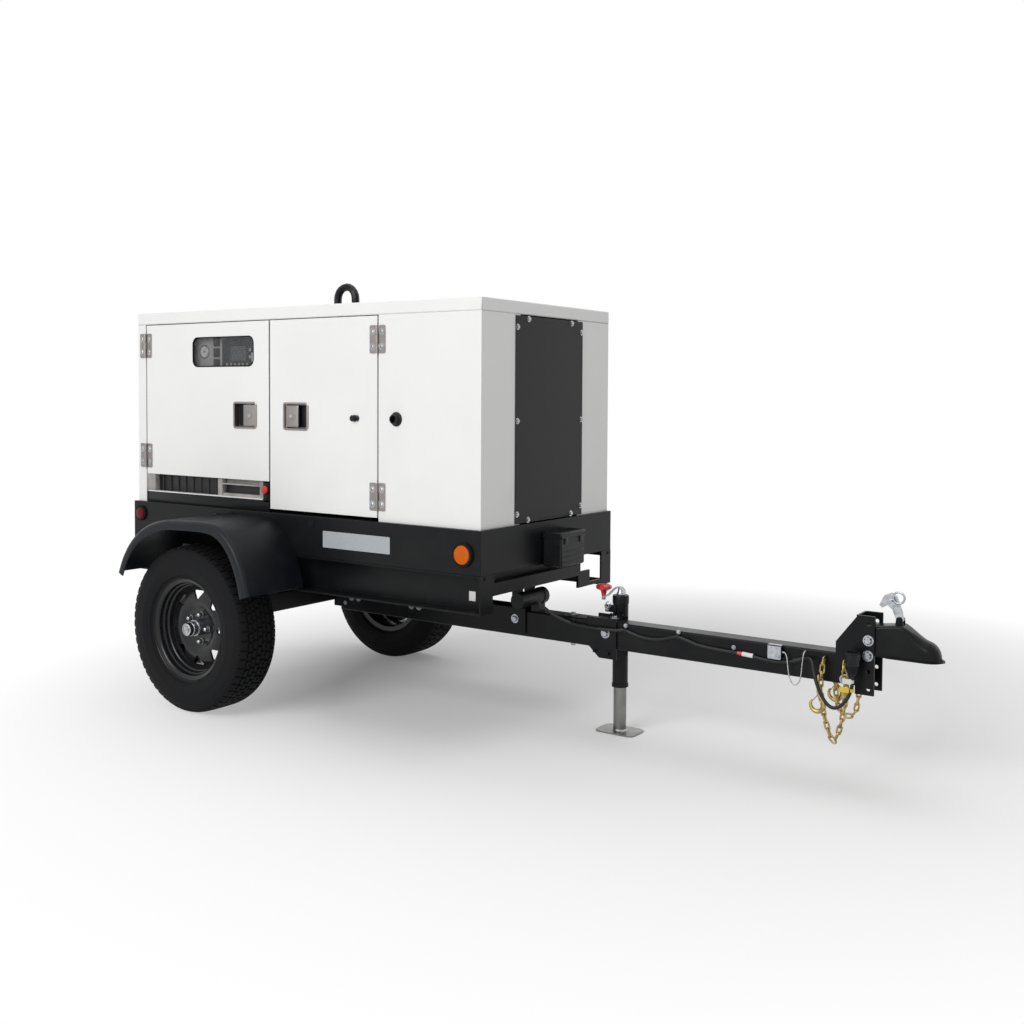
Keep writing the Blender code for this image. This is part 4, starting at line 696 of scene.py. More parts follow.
def wheel_disc(side, name):
    """A pressed steel wheel: a stepped barrel and a disc with eight windows and five stud holes."""
    bm = bmesh.new()
    front = [(0.0825, 0.2085), (0.0812, 0.2093), (0.0795, 0.2085), (0.0760, 0.1945), (0.0730, 0.1925)]
    hidden = [(0.0300, 0.1720), (-0.0400, 0.1720), (-0.0745, 0.1925), (-0.0790, 0.2085), (-0.0825, 0.2085),
              (-0.0800, 0.1880), (-0.0430, 0.1675), (0.0020, 0.1675)]
    back = [(0.0090, 0.1580), (0.0170, 0.1400), (0.0230, 0.1200), (0.0235, 0.1080), (0.0195, 0.0920),
            (0.0140, 0.0780), (0.0140, 0.0345)]
    face = [(0.0200, 0.0345), (0.0200, 0.0740), (0.0215, 0.0800), (0.0262, 0.0890), (0.0298, 0.1000),
            (0.0310, 0.1120), (0.0298, 0.1240), (0.0262, 0.1380), (0.0215, 0.1510), (0.0168, 0.1610),
            (0.0150, 0.1668)]
    barrel = [(0.0180, 0.1685), (0.0330, 0.1690), (0.0370, 0.1715), (0.0390, 0.1760), (0.0510, 0.1775),
              (0.0545, 0.1800), (0.0560, 0.1848), (0.0700, 0.1862), (0.0740, 0.1885), (0.0775, 0.1940),
              (0.0800, 0.2060)]
    profile = front + hidden + back + face + barrel
    turned_out(bm, profile, side, (0, side * WHEEL_Y, WHEEL_Z), 96, closed=True)
    wheel = piece(f"wheel_{name}", bm, WHEEL_BLACK, f"wheel_{name}", (f"rim_{name}",))
    holes = bmesh.new()
    start, end = side * (WHEEL_Y - 0.010), side * (WHEEL_Y + 0.050)
    window = [(-0.0098, 0.1165), (0.0098, 0.1165), (0.0298, 0.1515), (-0.0298, 0.1515)]
    inwards = [(1, 1), (-1, 1), (-1, -1), (1, -1)]
    for a in full_turn(RIM_WINDOWS):
        outline = []
        for (x, r), (nx, nr) in zip(window, inwards):
            ends = ((x, r + nr * 0.006), (x + nx * 0.0018, r + nr * 0.0018), (x + nx * 0.006, r))
            outline += ends if nx * nr > 0 else ends[::-1]
        pushed(holes, [(x * math.cos(a) + r * math.sin(a), WHEEL_Z - x * math.sin(a) + r * math.cos(a))
                       for x, r in outline], "Y", start, end)
    for x, z in stud_places():
        circle = [(x + 0.0078 * math.cos(2 * math.pi * k / 12), z + 0.0078 * math.sin(2 * math.pi * k / 12))
                  for k in range(12)]
        pushed(holes, circle, "Y", start, end)
    cut(wheel, holes)
    return wheel


def cut(made, holes):
    """Takes a bmesh of cutters out of a piece."""
    bmesh.ops.translate(holes, vec=(AXLE, 0, 0), verts=holes.verts)
    bmesh.ops.recalc_face_normals(holes, faces=holes.faces)
    cutter = add("holes", meshed("holes", holes))
    step = made.modifiers.new("holes", "BOOLEAN")
    step.object, step.solver = cutter, "EXACT"
    bpy.context.view_layer.update()
    result = bpy.data.meshes.new_from_object(made.evaluated_get(bpy.context.evaluated_depsgraph_get()))
    made.modifiers.clear()
    name = made.data.name
    made.data = result
    result.name = name
    result.shade_smooth()
    result.set_sharp_from_angle(angle=math.radians(35))
    bpy.data.objects.remove(cutter, do_unlink=True)


def stud_places():
    """Where the wheel studs stand, in X and Z."""
    return [(STUD_CIRCLE * math.cos(a), WHEEL_Z + STUD_CIRCLE * math.sin(a)) for a in full_turn(STUDS)]


def hub(side, name):
    """The hub's drum and flange, with chromed nuts and a grease cap."""
    bm = bmesh.new()
    drum = [(-0.0500, 0.0210), (-0.0500, 0.0450), (-0.0440, 0.0490), (-0.0010, 0.0510), (0.0040, 0.0560),
            (0.0047, 0.0710), (0.0060, 0.0720), (0.0135, 0.0720), (0.0137, 0.0335), (0.0440, 0.0335),
            (0.0460, 0.0320), (0.0480, 0.0210)]
    turned_out(bm, drum, side, (0, side * WHEEL_Y, WHEEL_Z), 48, closed=True)
    piece(f"hub_drum_{name}", bm, ZINC, f"wheel_{name}", (f"hub_{name}",))
    bm = bmesh.new()
    cap = [(0.0430, 0.0300), (0.0430, 0.0325), (0.0450, 0.0332), (0.0465, 0.0325), (0.0470, 0.0296),
           (0.0640, 0.0288), (0.0655, 0.0296), (0.0672, 0.0288), (0.0680, 0.0272), (0.0820, 0.0264),
           (0.0850, 0.0250), (0.0862, 0.0228), (0.0862, 0.0200), (0.0840, 0.0190), (0.0840, 0.0150),
           (0.0875, 0.0140), (0.0890, 0.0110), (0.0890, 0.0020)]
    turned_out(bm, cap, side, (0, side * WHEEL_Y, WHEEL_Z), 40)
    for x, z in stud_places():
        nut = [(0.0203, 0.0108), (0.0215, 0.0118), (0.0235, 0.0118)]
        turned_out(bm, nut, side, (x, side * WHEEL_Y, z), 24)
        corner = [(0.0222, 0.0112), (0.0360, 0.0112), (0.0380, 0.0098)]
        turned_out(bm, corner, side, (x, side * WHEEL_Y, z), 6)
        dome = [(0.0360, 0.0094), (0.0400, 0.0090), (0.0425, 0.0074), (0.0442, 0.0045), (0.0447, 0.0012)]
        turned_out(bm, dome, side, (x, side * WHEEL_Y, z), 20)
    piece(f"lug_nuts_{name}", bm, CHROME, f"wheel_{name}")


def guard(side, name):
    """The moulded mudguard: a flat top with a soft edge that turns down into its skirt."""
    over = [(-0.3570, 0.5510), (-0.3250, 0.6180), (-0.2680, 0.6900), (-0.1850, 0.7480), (-0.0800, 0.7800),
            (0.0400, 0.7880), (0.2000, 0.7880), (0.2850, 0.7620), (0.3520, 0.7000), (0.3980, 0.6150),
            (0.4270, 0.5220)]
    path = smooth_path([(x, 0, z) for x, z in over], 6)
    section = [(0.4556, 0.0), (0.4700, 0.0), (0.5200, 0.0010), (0.6000, 0.0014), (0.6800, 0.0010),
               (0.7150, 0.0)]
    section += [(0.7300 + 0.0198 * math.sin(a), -0.0198 + 0.0198 * math.cos(a))
                for a in [math.radians(15 * k) for k in range(0, 7)]]
    section += [(0.7498, -0.0335), (0.7488, -0.0395), (0.7460, -0.0400), (0.7446, -0.0390), (0.7450, -0.0320)]
    section += [(0.7300 + 0.0150 * math.sin(a), -0.0198 + 0.0150 * math.cos(a))
                for a in [math.radians(90 - 15 * k) for k in range(0, 7)]]
    section += [(0.7150, -0.0048), (0.4556, -0.0048)]
    rings = []
    for i, point in enumerate(path):
        way = (path[min(i + 1, len(path) - 1)] - path[max(i - 1, 0)]).normalized()
        up = Vector((-way.z, 0, way.x))
        rings.append([Vector((point.x, side * y, point.z)) + up * n for y, n in section])
    bm = bmesh.new()
    loft(bm, rings)
    piece(f"mudguard_{name}", bm, GUARD, "trailer", (f"fender_{name}",), sharp=50)
    bm = bmesh.new()
    for x in (-0.035, 0.115):
        turned(bm, [(0.7868, 0.0130), (0.7882, 0.0130), (0.7890, 0.0105), (0.7890, 0.0010)], "Z",
               (x, side * 0.500, 0), 24)
        turned(bm, [(0.7885, 0.0075), (0.7920, 0.0070), (0.7932, 0.0045), (0.7932, 0.0010)], "Z",
               (x, side * 0.500, 0), 18)
    piece(f"guard_screws_{name}", bm, BLACK_PLASTIC)


# ---------------------------------------------------------------- hitch

AXLE_FIX = 0.150


def chain(side, name):
    """A safety chain: welded links from the gusset down and back to the tongue, and its hook."""
    hang = 0.069
    drop = 0.166 if side == NEAR else 0.215
    route = [(2.500, 0.0463, 0.425), (2.500, 0.0513, 0.425), (2.500, 0.0563, 0.425), (2.504, hang, 0.402),
             (2.512, hang, 0.340), (2.500, hang, 0.240), (2.472, hang, drop), (2.440, hang, 0.240),
             (2.426, hang, 0.330), (2.430, hang, 0.395), (2.430, 0.0543, 0.425), (2.430, 0.0463, 0.425),
             (2.430, 0.0383, 0.425)]
    path = smooth_path([(x, side * y, z) for x, y, z in route], 12)
    pitch, wire = 0.0236, 0.0033
    bm = bmesh.new()
    travelled, due, count = 0.0, 0.004, 0
    for a, b in zip(path, path[1:]):
        step = (b - a).length
        while travelled + step >= due:
            centre = a.lerp(b, (due - travelled) / step)
            link(bm, centre, (b - a).normalized(), count % 2, pitch, wire)
            due += pitch
            count += 1
        travelled += step
    piece(f"chain_{name}", bm, GOLD, "trailer", (f"safety_chain_{name}",), sharp=60)
    bm = bmesh.new()
    x, y, z = 2.424, side * 0.0875, 0.330
    hook = [(x, y, z + 0.012), (x, y, z - 0.004), (x + 0.004, y, z - 0.020), (x + 0.017, y, z - 0.034),
            (x + 0.020, y, z - 0.052), (x + 0.010, y, z - 0.068), (x - 0.008, y, z - 0.072),
            (x - 0.022, y, z - 0.062), (x - 0.025, y, z - 0.046), (x - 0.020, y, z - 0.036)]
    thick = [0.0050, 0.0055, 0.0058, 0.0068, 0.0078, 0.0080, 0.0076, 0.0066, 0.0052, 0.0030]
    fine = smooth_path(hook, 4)
    radii = [thick[min(i // 4, 9)] + (thick[min(i // 4 + 1, 9)] - thick[min(i // 4, 9)]) * (i % 4) / 4
             for i in range(len(fine))]
    tube(bm, fine, radii, 12)
    for turn in (-1, 1):
        tube(bm, [(x, y + turn * 0.0068, z + 0.004), (x, y + turn * 0.0062, z + 0.018),
                  (x, y + turn * 0.0030, z + 0.026)], 0.0032, 10)
    tube(bm, [(x, y - 0.0095, z + 0.006), (x, y + 0.0095, z + 0.006)], 0.0036, 12)
    tube(bm, [(x + 0.002, y, z - 0.014), (x - 0.010, y, z - 0.028), (x - 0.019, y, z - 0.040)], 0.0018, 8)
    ring = [(x, y + 0.0100 * math.cos(t) * 0.35, z + 0.034 + 0.0100 * math.sin(t) * 1.3)
            for t in full_turn(16)]
    tube(bm, ring, 0.0033, 8, closed=True)
    piece(f"chain_hook_{name}", bm, GOLD, "trailer", sharp=60)


def link(bm, centre, way, crossed, pitch, wire):
    """One oval link that lies along way, turned a quarter from the one before."""
    flat = way.cross(Vector((0, 1, 0)))
    flat = flat.normalized() if flat.length > 0.2 else Vector((0, 0, 1))
    if crossed:
        flat = way.cross(flat).normalized()
    bow = 0.0070
    straight = pitch / 2 + wire - bow
    loop = []
    for end in (1, -1):
        for k in range(7):
            turn = math.radians(-90 + 30 * k)
            loop.append(centre + end * way * (straight + bow * math.cos(turn))
                        + end * flat * bow * math.sin(turn))
    tube(bm, loop, wire, 8, closed=True)


def coupler():
    """The pressed ball coupler: a channel that slopes down into a round nose over a rolled flange."""
    heights = [(2.5416, 0.5510), (2.6060, 0.5530), (2.6400, 0.5575), (2.6620, 0.5605), (2.6760, 0.5600),
               (2.6900, 0.5535), (2.7080, 0.5420), (2.7260, 0.5305), (2.7420, 0.5210), (2.7550, 0.5155),
               (2.7650, 0.5120), (2.7750, 0.5060), (2.7830, 0.4980), (2.7890, 0.4890), (2.7935, 0.4780),
               (2.7960, 0.4660), (2.8010, 0.4580), (2.8045, 0.4572), (2.8058, 0.4568)]
    rings = []
    for x, top in heights:
        ahead = max(0.0, x - 2.755)
        flange = math.sqrt(max(0.051 ** 2 - ahead ** 2, 0.00002)) if x > 2.599 else 0.0378
        flange = min(flange, 0.0378 + 0.35 * max(0.0, x - 2.599))
        half = 0.0377 if x < 2.70 else 0.0377 + 0.03 * min(x - 2.70, 0.05)
        half = min(half, math.sqrt(max(0.0415 ** 2 - ahead ** 2, 0.000004)))
        half = min(half, flange)
        soft = min(half * 0.8, 0.010 + 0.34 * max(0.0, min(x - 2.676, 0.08)), (top - 0.456) * 0.9)
        low = 0.4492
        right = [(flange, low), (flange, low + 0.0060), (flange - 0.001, low + 0.0072),
                 (half + 0.003 * (flange > half + 0.004), low + 0.0076), (half, low + 0.0078 + 0.001)]
        right += [(half - soft + soft * math.cos(t), top - soft + soft * math.sin(t))
                  for t in [math.radians(15 * k) for k in range(7)]]
        ring = right + [(-y, z) for y, z in reversed(right)]
        rings.append([Vector((x, y, max(z, low + 0.0002 * i) if i else z)) for i, (y, z) in enumerate(ring)])
    bm = bmesh.new()
    loft(bm, rings)
    for side in (NEAR, FAR):
        ear = [(2.664 + 0.011 * math.cos(t), 0.575 + 0.011 * math.sin(t)) for t in
               [math.radians(20 * k) for k in range(10)]] + [(2.651, 0.553), (2.677, 0.553)]
        pushed(bm, ear, "Y", side * 0.0107, side * 0.0145)
        bolt(bm, (2.664, side * 0.0145, 0.575), (0, side, 0), 0.013, 0.004, 0.0)
    shell = piece("coupler_shell", bm, BLACK, "trailer", ("coupler_body",), sharp=40)
    holes = bmesh.new()
    turned(holes, [(0.440, 0.031), (0.470, 0.031), (0.486, 0.026), (0.496, 0.014), (0.500, 0.002)], "Z",
           (2.755, 0, 0), 40)
    box(holes, (2.582, -0.0315, 0.440), (2.755, 0.0315, 0.485))
    cut(shell, holes)


def lock_ring():
    """The coupler's locking pin with its pull ring."""
    bm = bmesh.new()
    tube(bm, [(2.634, -0.0190, 0.637), (2.634, 0.018, 0.637)], [0.0035, 0.0034], 14)
    tube(bm, [(2.634, -0.0200, 0.637), (2.634, -0.0106, 0.637)], 0.0062, 16)
    tube(bm, [(2.634, -0.0168, 0.637), (2.645, -0.0168, 0.643)], [0.0042, 0.0034], 10)
    ring = [(2.6625 + 0.0185 * math.cos(t), -0.0168, 0.6480 + 0.0185 * math.sin(t))
            for t in full_turn(36)]
    tube(bm, ring, 0.0035, 10, closed=True)
    piece("lock_pin_ring", bm, ZINC, "lock_pin", ("coupler_lock_pin",), sharp=60)


def fixings():
    """Zinc bolts along the tongue, the hitch, the receiver and the axle's brackets."""
    bm = bmesh.new()
    for side in (NEAR, FAR):
        out = (0, side, 0)
        for x, z in ((2.575, 0.504), (2.574, 0.454), (2.499, 0.366)):
            bolt(bm, (x, side * 0.0462, z), out, 0.0202, 0.0100, 0.0018)
        bolt(bm, (1.171, side * 0.0460, 0.415), out, 0.0200, 0.0090, 0.0018)
        for x in (0.300, 0.340, 0.640, 0.680):
            bolt(bm, (x, side * 0.0460, 0.410), out, 0.0190, 0.0080, 0.0018)
        for x in (AXLE_FIX - 0.045, AXLE_FIX + 0.045):
            for y in (0.400, 0.436):
                bolt(bm, (x, side * y, 0.5098), (0, 0, 1), 0.0160, 0.0070, 0.0016)
    for x, z, across in ((1.592, 0.332, 0.0120), (1.584, 0.407, 0.0210)):
        bolt(bm, (x, -0.0462, z), (0, -1, 0), across, across * 0.48, 0.0016)
    bolt(bm, (1.410, 0.006, 0.3478), (0, 0, -1), 0.0185, 0.0140, 0.0018)
    for x, z in ((1.410, 0.4500), (1.592, 0.4560)):
        bolt(bm, (x, 0.006, z), (0, 0, 1), 0.0185, 0.0070, 0.0018)
    bolt(bm, (0.262, -0.0381, 0.381), (0, -1, 0), 0.0185, 0.0080, 0.0018)
    piece("frame_bolts", bm, ZINC, "trailer")


def harness_fixings():
    """P-clips over the loom, a cable tie at each, and two crimped joints."""
    bm = bmesh.new()
    for x, z in ((1.440, 0.4275), (1.667, 0.428), (1.885, 0.431), (2.100, 0.4035), (2.230, 0.392)):
        hoop = [(x, HARNESS_Y + 0.0078 * math.cos(t), z + 0.0078 * math.sin(t))
                for t in [math.radians(-110 + 22 * k) for k in range(15)]]
        rings = [[Vector((px + dx, HARNESS_Y + (py - HARNESS_Y) * s, z + (pz - z) * s)) for dx, s in
                  ((-0.005, 0.84), (0.005, 0.84), (0.005, 1.0), (-0.005, 1.0))] for px, py, pz in hoop]
        loft(bm, rings)
        box(bm, (x - 0.006, -0.0400, z + 0.006), (x + 0.006, -0.0382, z + 0.020), 0.0006)
    piece("loom_clips", bm, BLACK_PLASTIC)
    bm = bmesh.new()
    for x, z in ((1.667, 0.4445), (1.885, 0.4475), (2.100, 0.4200)):
        bolt(bm, (x, -0.0400, z), (0, -1, 0), 0.0090, 0.0036, 0.0010)
    piece("loom_screws", bm, ZINC)
    bm = bmesh.new()
    tube(bm, [(2.136, HARNESS_Y - 0.0015, 0.4032), (2.176, HARNESS_Y - 0.0015, 0.4010)], 0.0078, 16)
    piece("loom_joint_white", bm, WHITE_TAG)
    bm = bmesh.new()
    tube(bm, [(2.118, HARNESS_Y - 0.0010, 0.4040), (2.136, HARNESS_Y - 0.0012, 0.4032)], 0.0070, 16)
    piece("loom_joint_red", bm, RED)


def breakaway():
    """The breakaway switch's zinc cover plate with its screws."""
    bm = bmesh.new()
    ring = rounded((2.2325, 0.4030), (2.2800, 0.4520), 0.004)
    pushed(bm, ring, "Y", -0.0563, -0.0576)
    box(bm, (2.2325, -0.0576, 0.4470), (2.2800, -0.0384, 0.4520), 0.0008)
    bolt(bm, (2.2700, -0.0576, 0.4140), (0, -1, 0), 0.0100, 0.0040, 0.0010)
    bolt(bm, (2.2420, -0.0576, 0.4410), (0, -1, 0), 0.0080, 0.0030, 0.0008)
    piece("breakaway_cover", bm, ZINC)


# ---------------------------------------------------------------- housing

DOORS = {"near_rear": (NEAR, -1, 0.933), "near_front": (NEAR, 1, 0.822),
         "far_rear": (FAR, -1, 0.822), "far_front": (FAR, 1, 0.822)}
DOOR_TOP = 1.5897
LATCH_Z = 1.2015
REAR_PIN, FRONT_PIN = -0.568, 0.808
LEAF_HEIGHT = 0.105


def leaf(bm, screws, side, pin, low, away, moving):
    """A hinge leaf with round corners, its knuckles and two screws."""
    high = low + LEAF_HEIGHT
    skin, face = 0.4424, 0.4436
    edge = pin + away * 0.0068
    end = pin + away * 0.0392
    pushed(bm, rounded((min(edge, end), low - 0.0008), (max(edge, end), high + 0.0008), 0.006, 4), "Y",
           side * skin, side * face)
    third = LEAF_HEIGHT / 3
    spans = [(low, low + third), (high - third, high)]
    if moving:
        spans = [(low + third + 0.0006, high - third - 0.0006)]
    for start, stop in spans:
        turned(bm, [(start, 0.0030), (start, 0.0054), (start + 0.0008, 0.0060), (stop - 0.0008, 0.0060),
                    (stop, 0.0054), (stop, 0.0030)], "Z", (pin, side * 0.4462, 0), 20)
        box(bm, (pin, side * 0.4428, start), (edge + away * 0.002, side * 0.4441, stop), 0.0003)
    for z in (low + 0.024, high - 0.024):
        bolt(screws, (pin + away * 0.0235, side * face, z), (0, side, 0), 0.0150, 0.0034, 0.0007, socket=True)


def hinges():
    fixed, fixed_screws = bmesh.new(), bmesh.new()
    for name, (side, end, bottom) in DOORS.items():
        pin = REAR_PIN if end < 0 else FRONT_PIN
        moving, screws = bmesh.new(), bmesh.new()
        for low in (bottom + 0.028, DOOR_TOP - 0.142):
            leaf(moving, screws, side, pin, low, -end, True)
            leaf(fixed, fixed_screws, side, pin, low, end, False)
        piece(f"hinge_leaves_{name}", moving, STAINLESS, f"door_{name}")
        piece(f"hinge_screws_{name}", screws, CHROME, f"door_{name}")
    piece("hinge_leaves_fixed", fixed, STAINLESS, "trailer")
    piece("hinge_screws_fixed", fixed_screws, CHROME, "trailer")


def latches():
    """Recessed paddle latches: a pressed bezel and dish, a paddle with a lip, and a key lock."""
    for name, (side, end, _) in DOORS.items():
        x = 0.0735 if end < 0 else 0.370
        bm = bmesh.new()
        outer = rounded((x - 0.0705, LATCH_Z - 0.056), (x + 0.0705, LATCH_Z + 0.056), 0.012)
        raised = rounded((x - 0.0680, LATCH_Z - 0.0535), (x + 0.0680, LATCH_Z + 0.0535), 0.010)
        inner = rounded((x - 0.0630, LATCH_Z - 0.0485), (x + 0.0630, LATCH_Z + 0.0485), 0.006)
        floor = rounded((x - 0.0610, LATCH_Z - 0.0465), (x + 0.0610, LATCH_Z + 0.0465), 0.005)
        well = rounded((x - 0.0619, LATCH_Z - 0.0474), (x + 0.0619, LATCH_Z + 0.0474), 0.005)
        behind = rounded((x - 0.0616, LATCH_Z - 0.0471), (x + 0.0616, LATCH_Z + 0.0471), 0.005)
        steps = [(behind, 0.4182), (behind, 0.4401), (outer, 0.4402), (outer, 0.4432), (raised, 0.4446),
                 (inner, 0.4446), (well, 0.4425), (floor, 0.4186)]
        stacked(bm, side, steps)
        piece(f"latch_dish_{name}", bm, STAINLESS, f"door_{name}", sharp=30)
        # A black sheet on the dish floor: painted shade in the latch's recess.
        bm = bmesh.new()
        pushed(bm, rounded((x - 0.0590, LATCH_Z - 0.0445), (x + 0.0590, LATCH_Z + 0.0445), 0.005), "Y",
               side * 0.4187, side * 0.4200)
        piece(f"latch_recess_shade_{name}", bm, BLACK_PLASTIC, f"door_{name}")
        bm = bmesh.new()
        edge = x - end * 0.057
        tip = edge + end * 0.0690
        low, high = min(edge, tip), max(edge, tip)
        plate = rounded((low, LATCH_Z - 0.0435), (high, LATCH_Z + 0.0435), 0.004)
        crown_plate = rounded((low + 0.004, LATCH_Z - 0.0395), (high - 0.004, LATCH_Z + 0.0395), 0.004)
        steps = [(plate, 0.4375), (plate, 0.4392), (crown_plate, 0.4412)]
        stacked(bm, side, steps)
        box(bm, (tip - end * 0.0016, side * 0.4300, LATCH_Z - 0.036),
            (tip, side * 0.4390, LATCH_Z + 0.036), 0.0005)
        tube(bm, [(edge, side * 0.4365, LATCH_Z - 0.0470), (edge, side * 0.4365, LATCH_Z + 0.0470)],
             0.0036, 14)
        press = rounded((low + 0.014, LATCH_Z - 0.016), (high - 0.014, LATCH_Z + 0.016), 0.009)
        press_in = rounded((low + 0.017, LATCH_Z - 0.013), (high - 0.017, LATCH_Z + 0.013), 0.008)
        stacked(bm, side, ((press, 0.4405), (press, 0.4418), (press_in, 0.4424)))
        paddle = f"paddle_{name}"
        nodes = (f"latch_paddle_{name}",)
        piece(f"latch_handle_{name}", bm, STAINLESS, paddle, nodes, sharp=30)
        bm = bmesh.new()
        spot = edge + end * 0.030
        lock = [(0.4395, 0.0085), (0.4428, 0.0085), (0.4436, 0.0076), (0.4436, 0.0052),
                (0.4426, 0.0048), (0.4426, 0.0010)]
        turned_out(bm, lock, side, (spot, 0, LATCH_Z), 28)
        piece(f"latch_lock_{name}", bm, CHROME, paddle)


def door_trim():
    """The hold-back socket on the fixed panel, the catch on the door, and the rubber seals."""
    for side, name in SIDES:
        bm = bmesh.new()
        profile = [(0.4398, 0.0340), (0.4425, 0.0340), (0.4450, 0.0325), (0.4465, 0.0250), (0.4580, 0.0235),
                   (0.4600, 0.0225), (0.4600, 0.0170), (0.4450, 0.0160), (0.4420, 0.0140), (0.4420, 0.0010)]
        turned_out(bm, [(u, r * 0.80) for u, r in profile], side, (0.901, 0, 1.199), 40)
        piece(f"hold_back_{name}", bm, BLACK_PLASTIC)
        bm = bmesh.new()
        stud = [(0.4399, 0.0130), (0.4425, 0.0130), (0.4440, 0.0110), (0.4520, 0.0095),
                (0.4560, 0.0115), (0.4580, 0.0100), (0.4580, 0.0010)]
        turned_out(bm, stud, side, (0.689, 0, 1.199), 28)
        piece(f"hold_back_stud_{name}", bm, BLACK_PLASTIC, f"door_{name}_front")
        bm = bmesh.new()
        pushed(bm, rounded((0.664, 1.186), (0.714, 1.212), 0.012), "Y", side * 0.4399, side * 0.4414)
        piece(f"hold_back_plate_{name}", bm, CHROME, f"door_{name}_front")
    bm = bmesh.new()
    (x0, z0), (x1, z1) = (-0.256, 1.403), (0.126, 1.531)
    outer = rounded((x0 + 0.0005, z0 + 0.0005), (x1 - 0.0005, z1 - 0.0005), 0.030, 8)
    inner = rounded((x0 + 0.0050, z0 + 0.0050), (x1 - 0.0050, z1 - 0.0050), 0.026, 8)
    ringed(bm, outer, inner, "Y", -0.4372, -0.4412)
    piece("window_gasket", bm, RUBBER, "door_near_rear")
    bm = bmesh.new()
    for side in (NEAR, FAR):
        box(bm, (0.2158, side * 0.4300, 0.8260), (0.2202, side * 0.4372, DOOR_TOP - 0.004), 0.0008)
    piece("centre_seals", bm, RUBBER)


def cover_bolts():
    """The service cover's bolts."""
    bm = bmesh.new()
    spots = []
    for side in (NEAR, FAR):
        spots += [(side * y, z) for y, z in ((0.150, 1.578), (0.222, 1.545), (0.222, 1.196), (0.222, 0.848),
                                             (0.150, 0.822))]
    for y, z in spots:
        bolt(bm, (1.3013, y, z), (1, 0, 0), 0.0130, 0.0056, 0.0012)
    piece("cover_bolts", bm, CHROME, "trailer")


def lamp(name, finish, at, out, radius, deep):
    """A round marker lamp: a rubber grommet and a domed lens."""
    bm = bmesh.new()
    axis = "Y" if out[1] else "X"
    sign = out[1] or out[0]
    base = at[1] if out[1] else at[0]
    centre = (at[0], 0, at[2]) if out[1] else (0, at[1], at[2])
    rim = [(0.0, radius), (deep * 0.45, radius), (deep * 0.65, radius * 0.96), (deep * 0.65, radius * 0.80),
           (deep * 0.2, radius * 0.78)]
    turned(bm, [(base + sign * u, r) for u, r in rim], axis, centre, 48)
    piece(f"{name}_grommet", bm, RUBBER)
    bm = bmesh.new()
    lens = [(0.0, radius * 0.78), (deep * 0.60, radius * 0.78), (deep * 0.80, radius * 0.74),
            (deep * 0.94, radius * 0.55), (deep, radius * 0.30), (deep, 0.001)]
    turned(bm, [(base + sign * u, r) for u, r in lens], axis, centre, 48)
    piece(f"{name}_lens", bm, finish)


def lamps():
    for side, name in SIDES:
        lamp(f"amber_marker_{name}", AMBER_LENS, (1.232, side * 0.4548, 0.718), (0, side, 0), 0.045, 0.017)
        lamp(f"red_marker_{name}", RED_LENS, (-0.588, side * 0.4548, 0.755), (0, side, 0), 0.034, 0.014)
        bm = bmesh.new()
        outline = rounded((side * 0.220, 0.578), (side * 0.365, 0.634), 0.026)
        pushed(bm, outline, "X", -0.6200, -0.6300)
        piece(f"tail_lamp_{name}_body", bm, RUBBER, bevel=0.002)
        bm = bmesh.new()
        outline = rounded((side * 0.228, 0.585), (side * 0.357, 0.627), 0.020)
        pushed(bm, outline, "X", -0.6298, -0.6372)
        piece(f"tail_lamp_{name}_lens", bm, RED_LENS, bevel=0.0025)
    bm = bmesh.new()
    pushed(bm, rounded((-0.155, 0.5690), (0.155, 0.6420), 0.006), "X", -0.6201, -0.6225)
    piece("number_plate_bracket", bm, BLACK_PLASTIC, bevel=0.0008)
    bm = bmesh.new()
    for y in (-0.130, 0.130):
        bolt(bm, (-0.6225, y, 0.630), (-1, 0, 0), 0.0110, 0.0040, 0.0010)
    piece("number_plate_screws", bm, ZINC)


def louvres():
    """Pressed air louvres: in the rear wall, and one bank in each far door, each with a dark block in its
    slot as painted shade.
    """
    bm = bmesh.new()
    for row in range(11):
        z = 1.060 + 0.036 * row
        for low, high in ((-0.330, -0.020), (0.020, 0.330)):
            ends = []
            for share in (0.0, 0.06, 0.94, 1.0):
                y = low + (high - low) * share
                rise = 0.0105 if 0 < share < 1 else 0.0008
                ends.append([Vector((-0.6238, y, z + 0.026)), Vector((-0.6240 - rise * 0.35, y, z + 0.018)),
                             Vector((-0.6240 - rise, y, z + 0.003)), Vector((-0.6240 - rise, y, z)),
                             Vector((-0.6238, y, z + 0.0005))])
            loft(bm, ends)
    piece("rear_louvres", bm, WHITE)
    # Dark blocks under each louvre's lip: painted shade in the openings.
    bm = bmesh.new()
    for row in range(11):
        z = 1.060 + 0.036 * row
        for low, high in ((-0.322, -0.028), (0.028, 0.322)):
            box(bm, (-0.6342, low, z - 0.0035), (-0.6238, high, z + 0.0018))
    piece("rear_louvre_slot_shade", bm, CABLE)
    for end, name in ((-1, "far_rear"), (1, "far_front")):
        start, stop = (-0.470, -0.110) if end < 0 else (0.480, 0.720)
        bm, slots = bmesh.new(), bmesh.new()
        for row in range(7):
            z = 1.290 + 0.034 * row if end < 0 else 0.900 + 0.034 * row
            ends = []
            for share in (0.0, 0.05, 0.95, 1.0):
                x = start + (stop - start) * share
                rise = 0.0100 if 0 < share < 1 else 0.0008
                ends.append([Vector((x, 0.4398, z + 0.024)), Vector((x, 0.4400 + rise * 0.35, z + 0.017)),
                             Vector((x, 0.4400 + rise, z + 0.003)), Vector((x, 0.4400 + rise, z)),
                             Vector((x, 0.4398, z + 0.0005))])
            loft(bm, ends)
            # A dark block under each louvre's lip: painted shade in the opening.
            box(slots, (start + 0.016, 0.4398, z - 0.0030), (stop - 0.016, 0.4494, z + 0.0018))
        piece(f"louvres_{name}", bm, WHITE, f"door_{name}")
        piece(f"louvre_slot_shade_{name}", slots, CABLE, f"door_{name}")


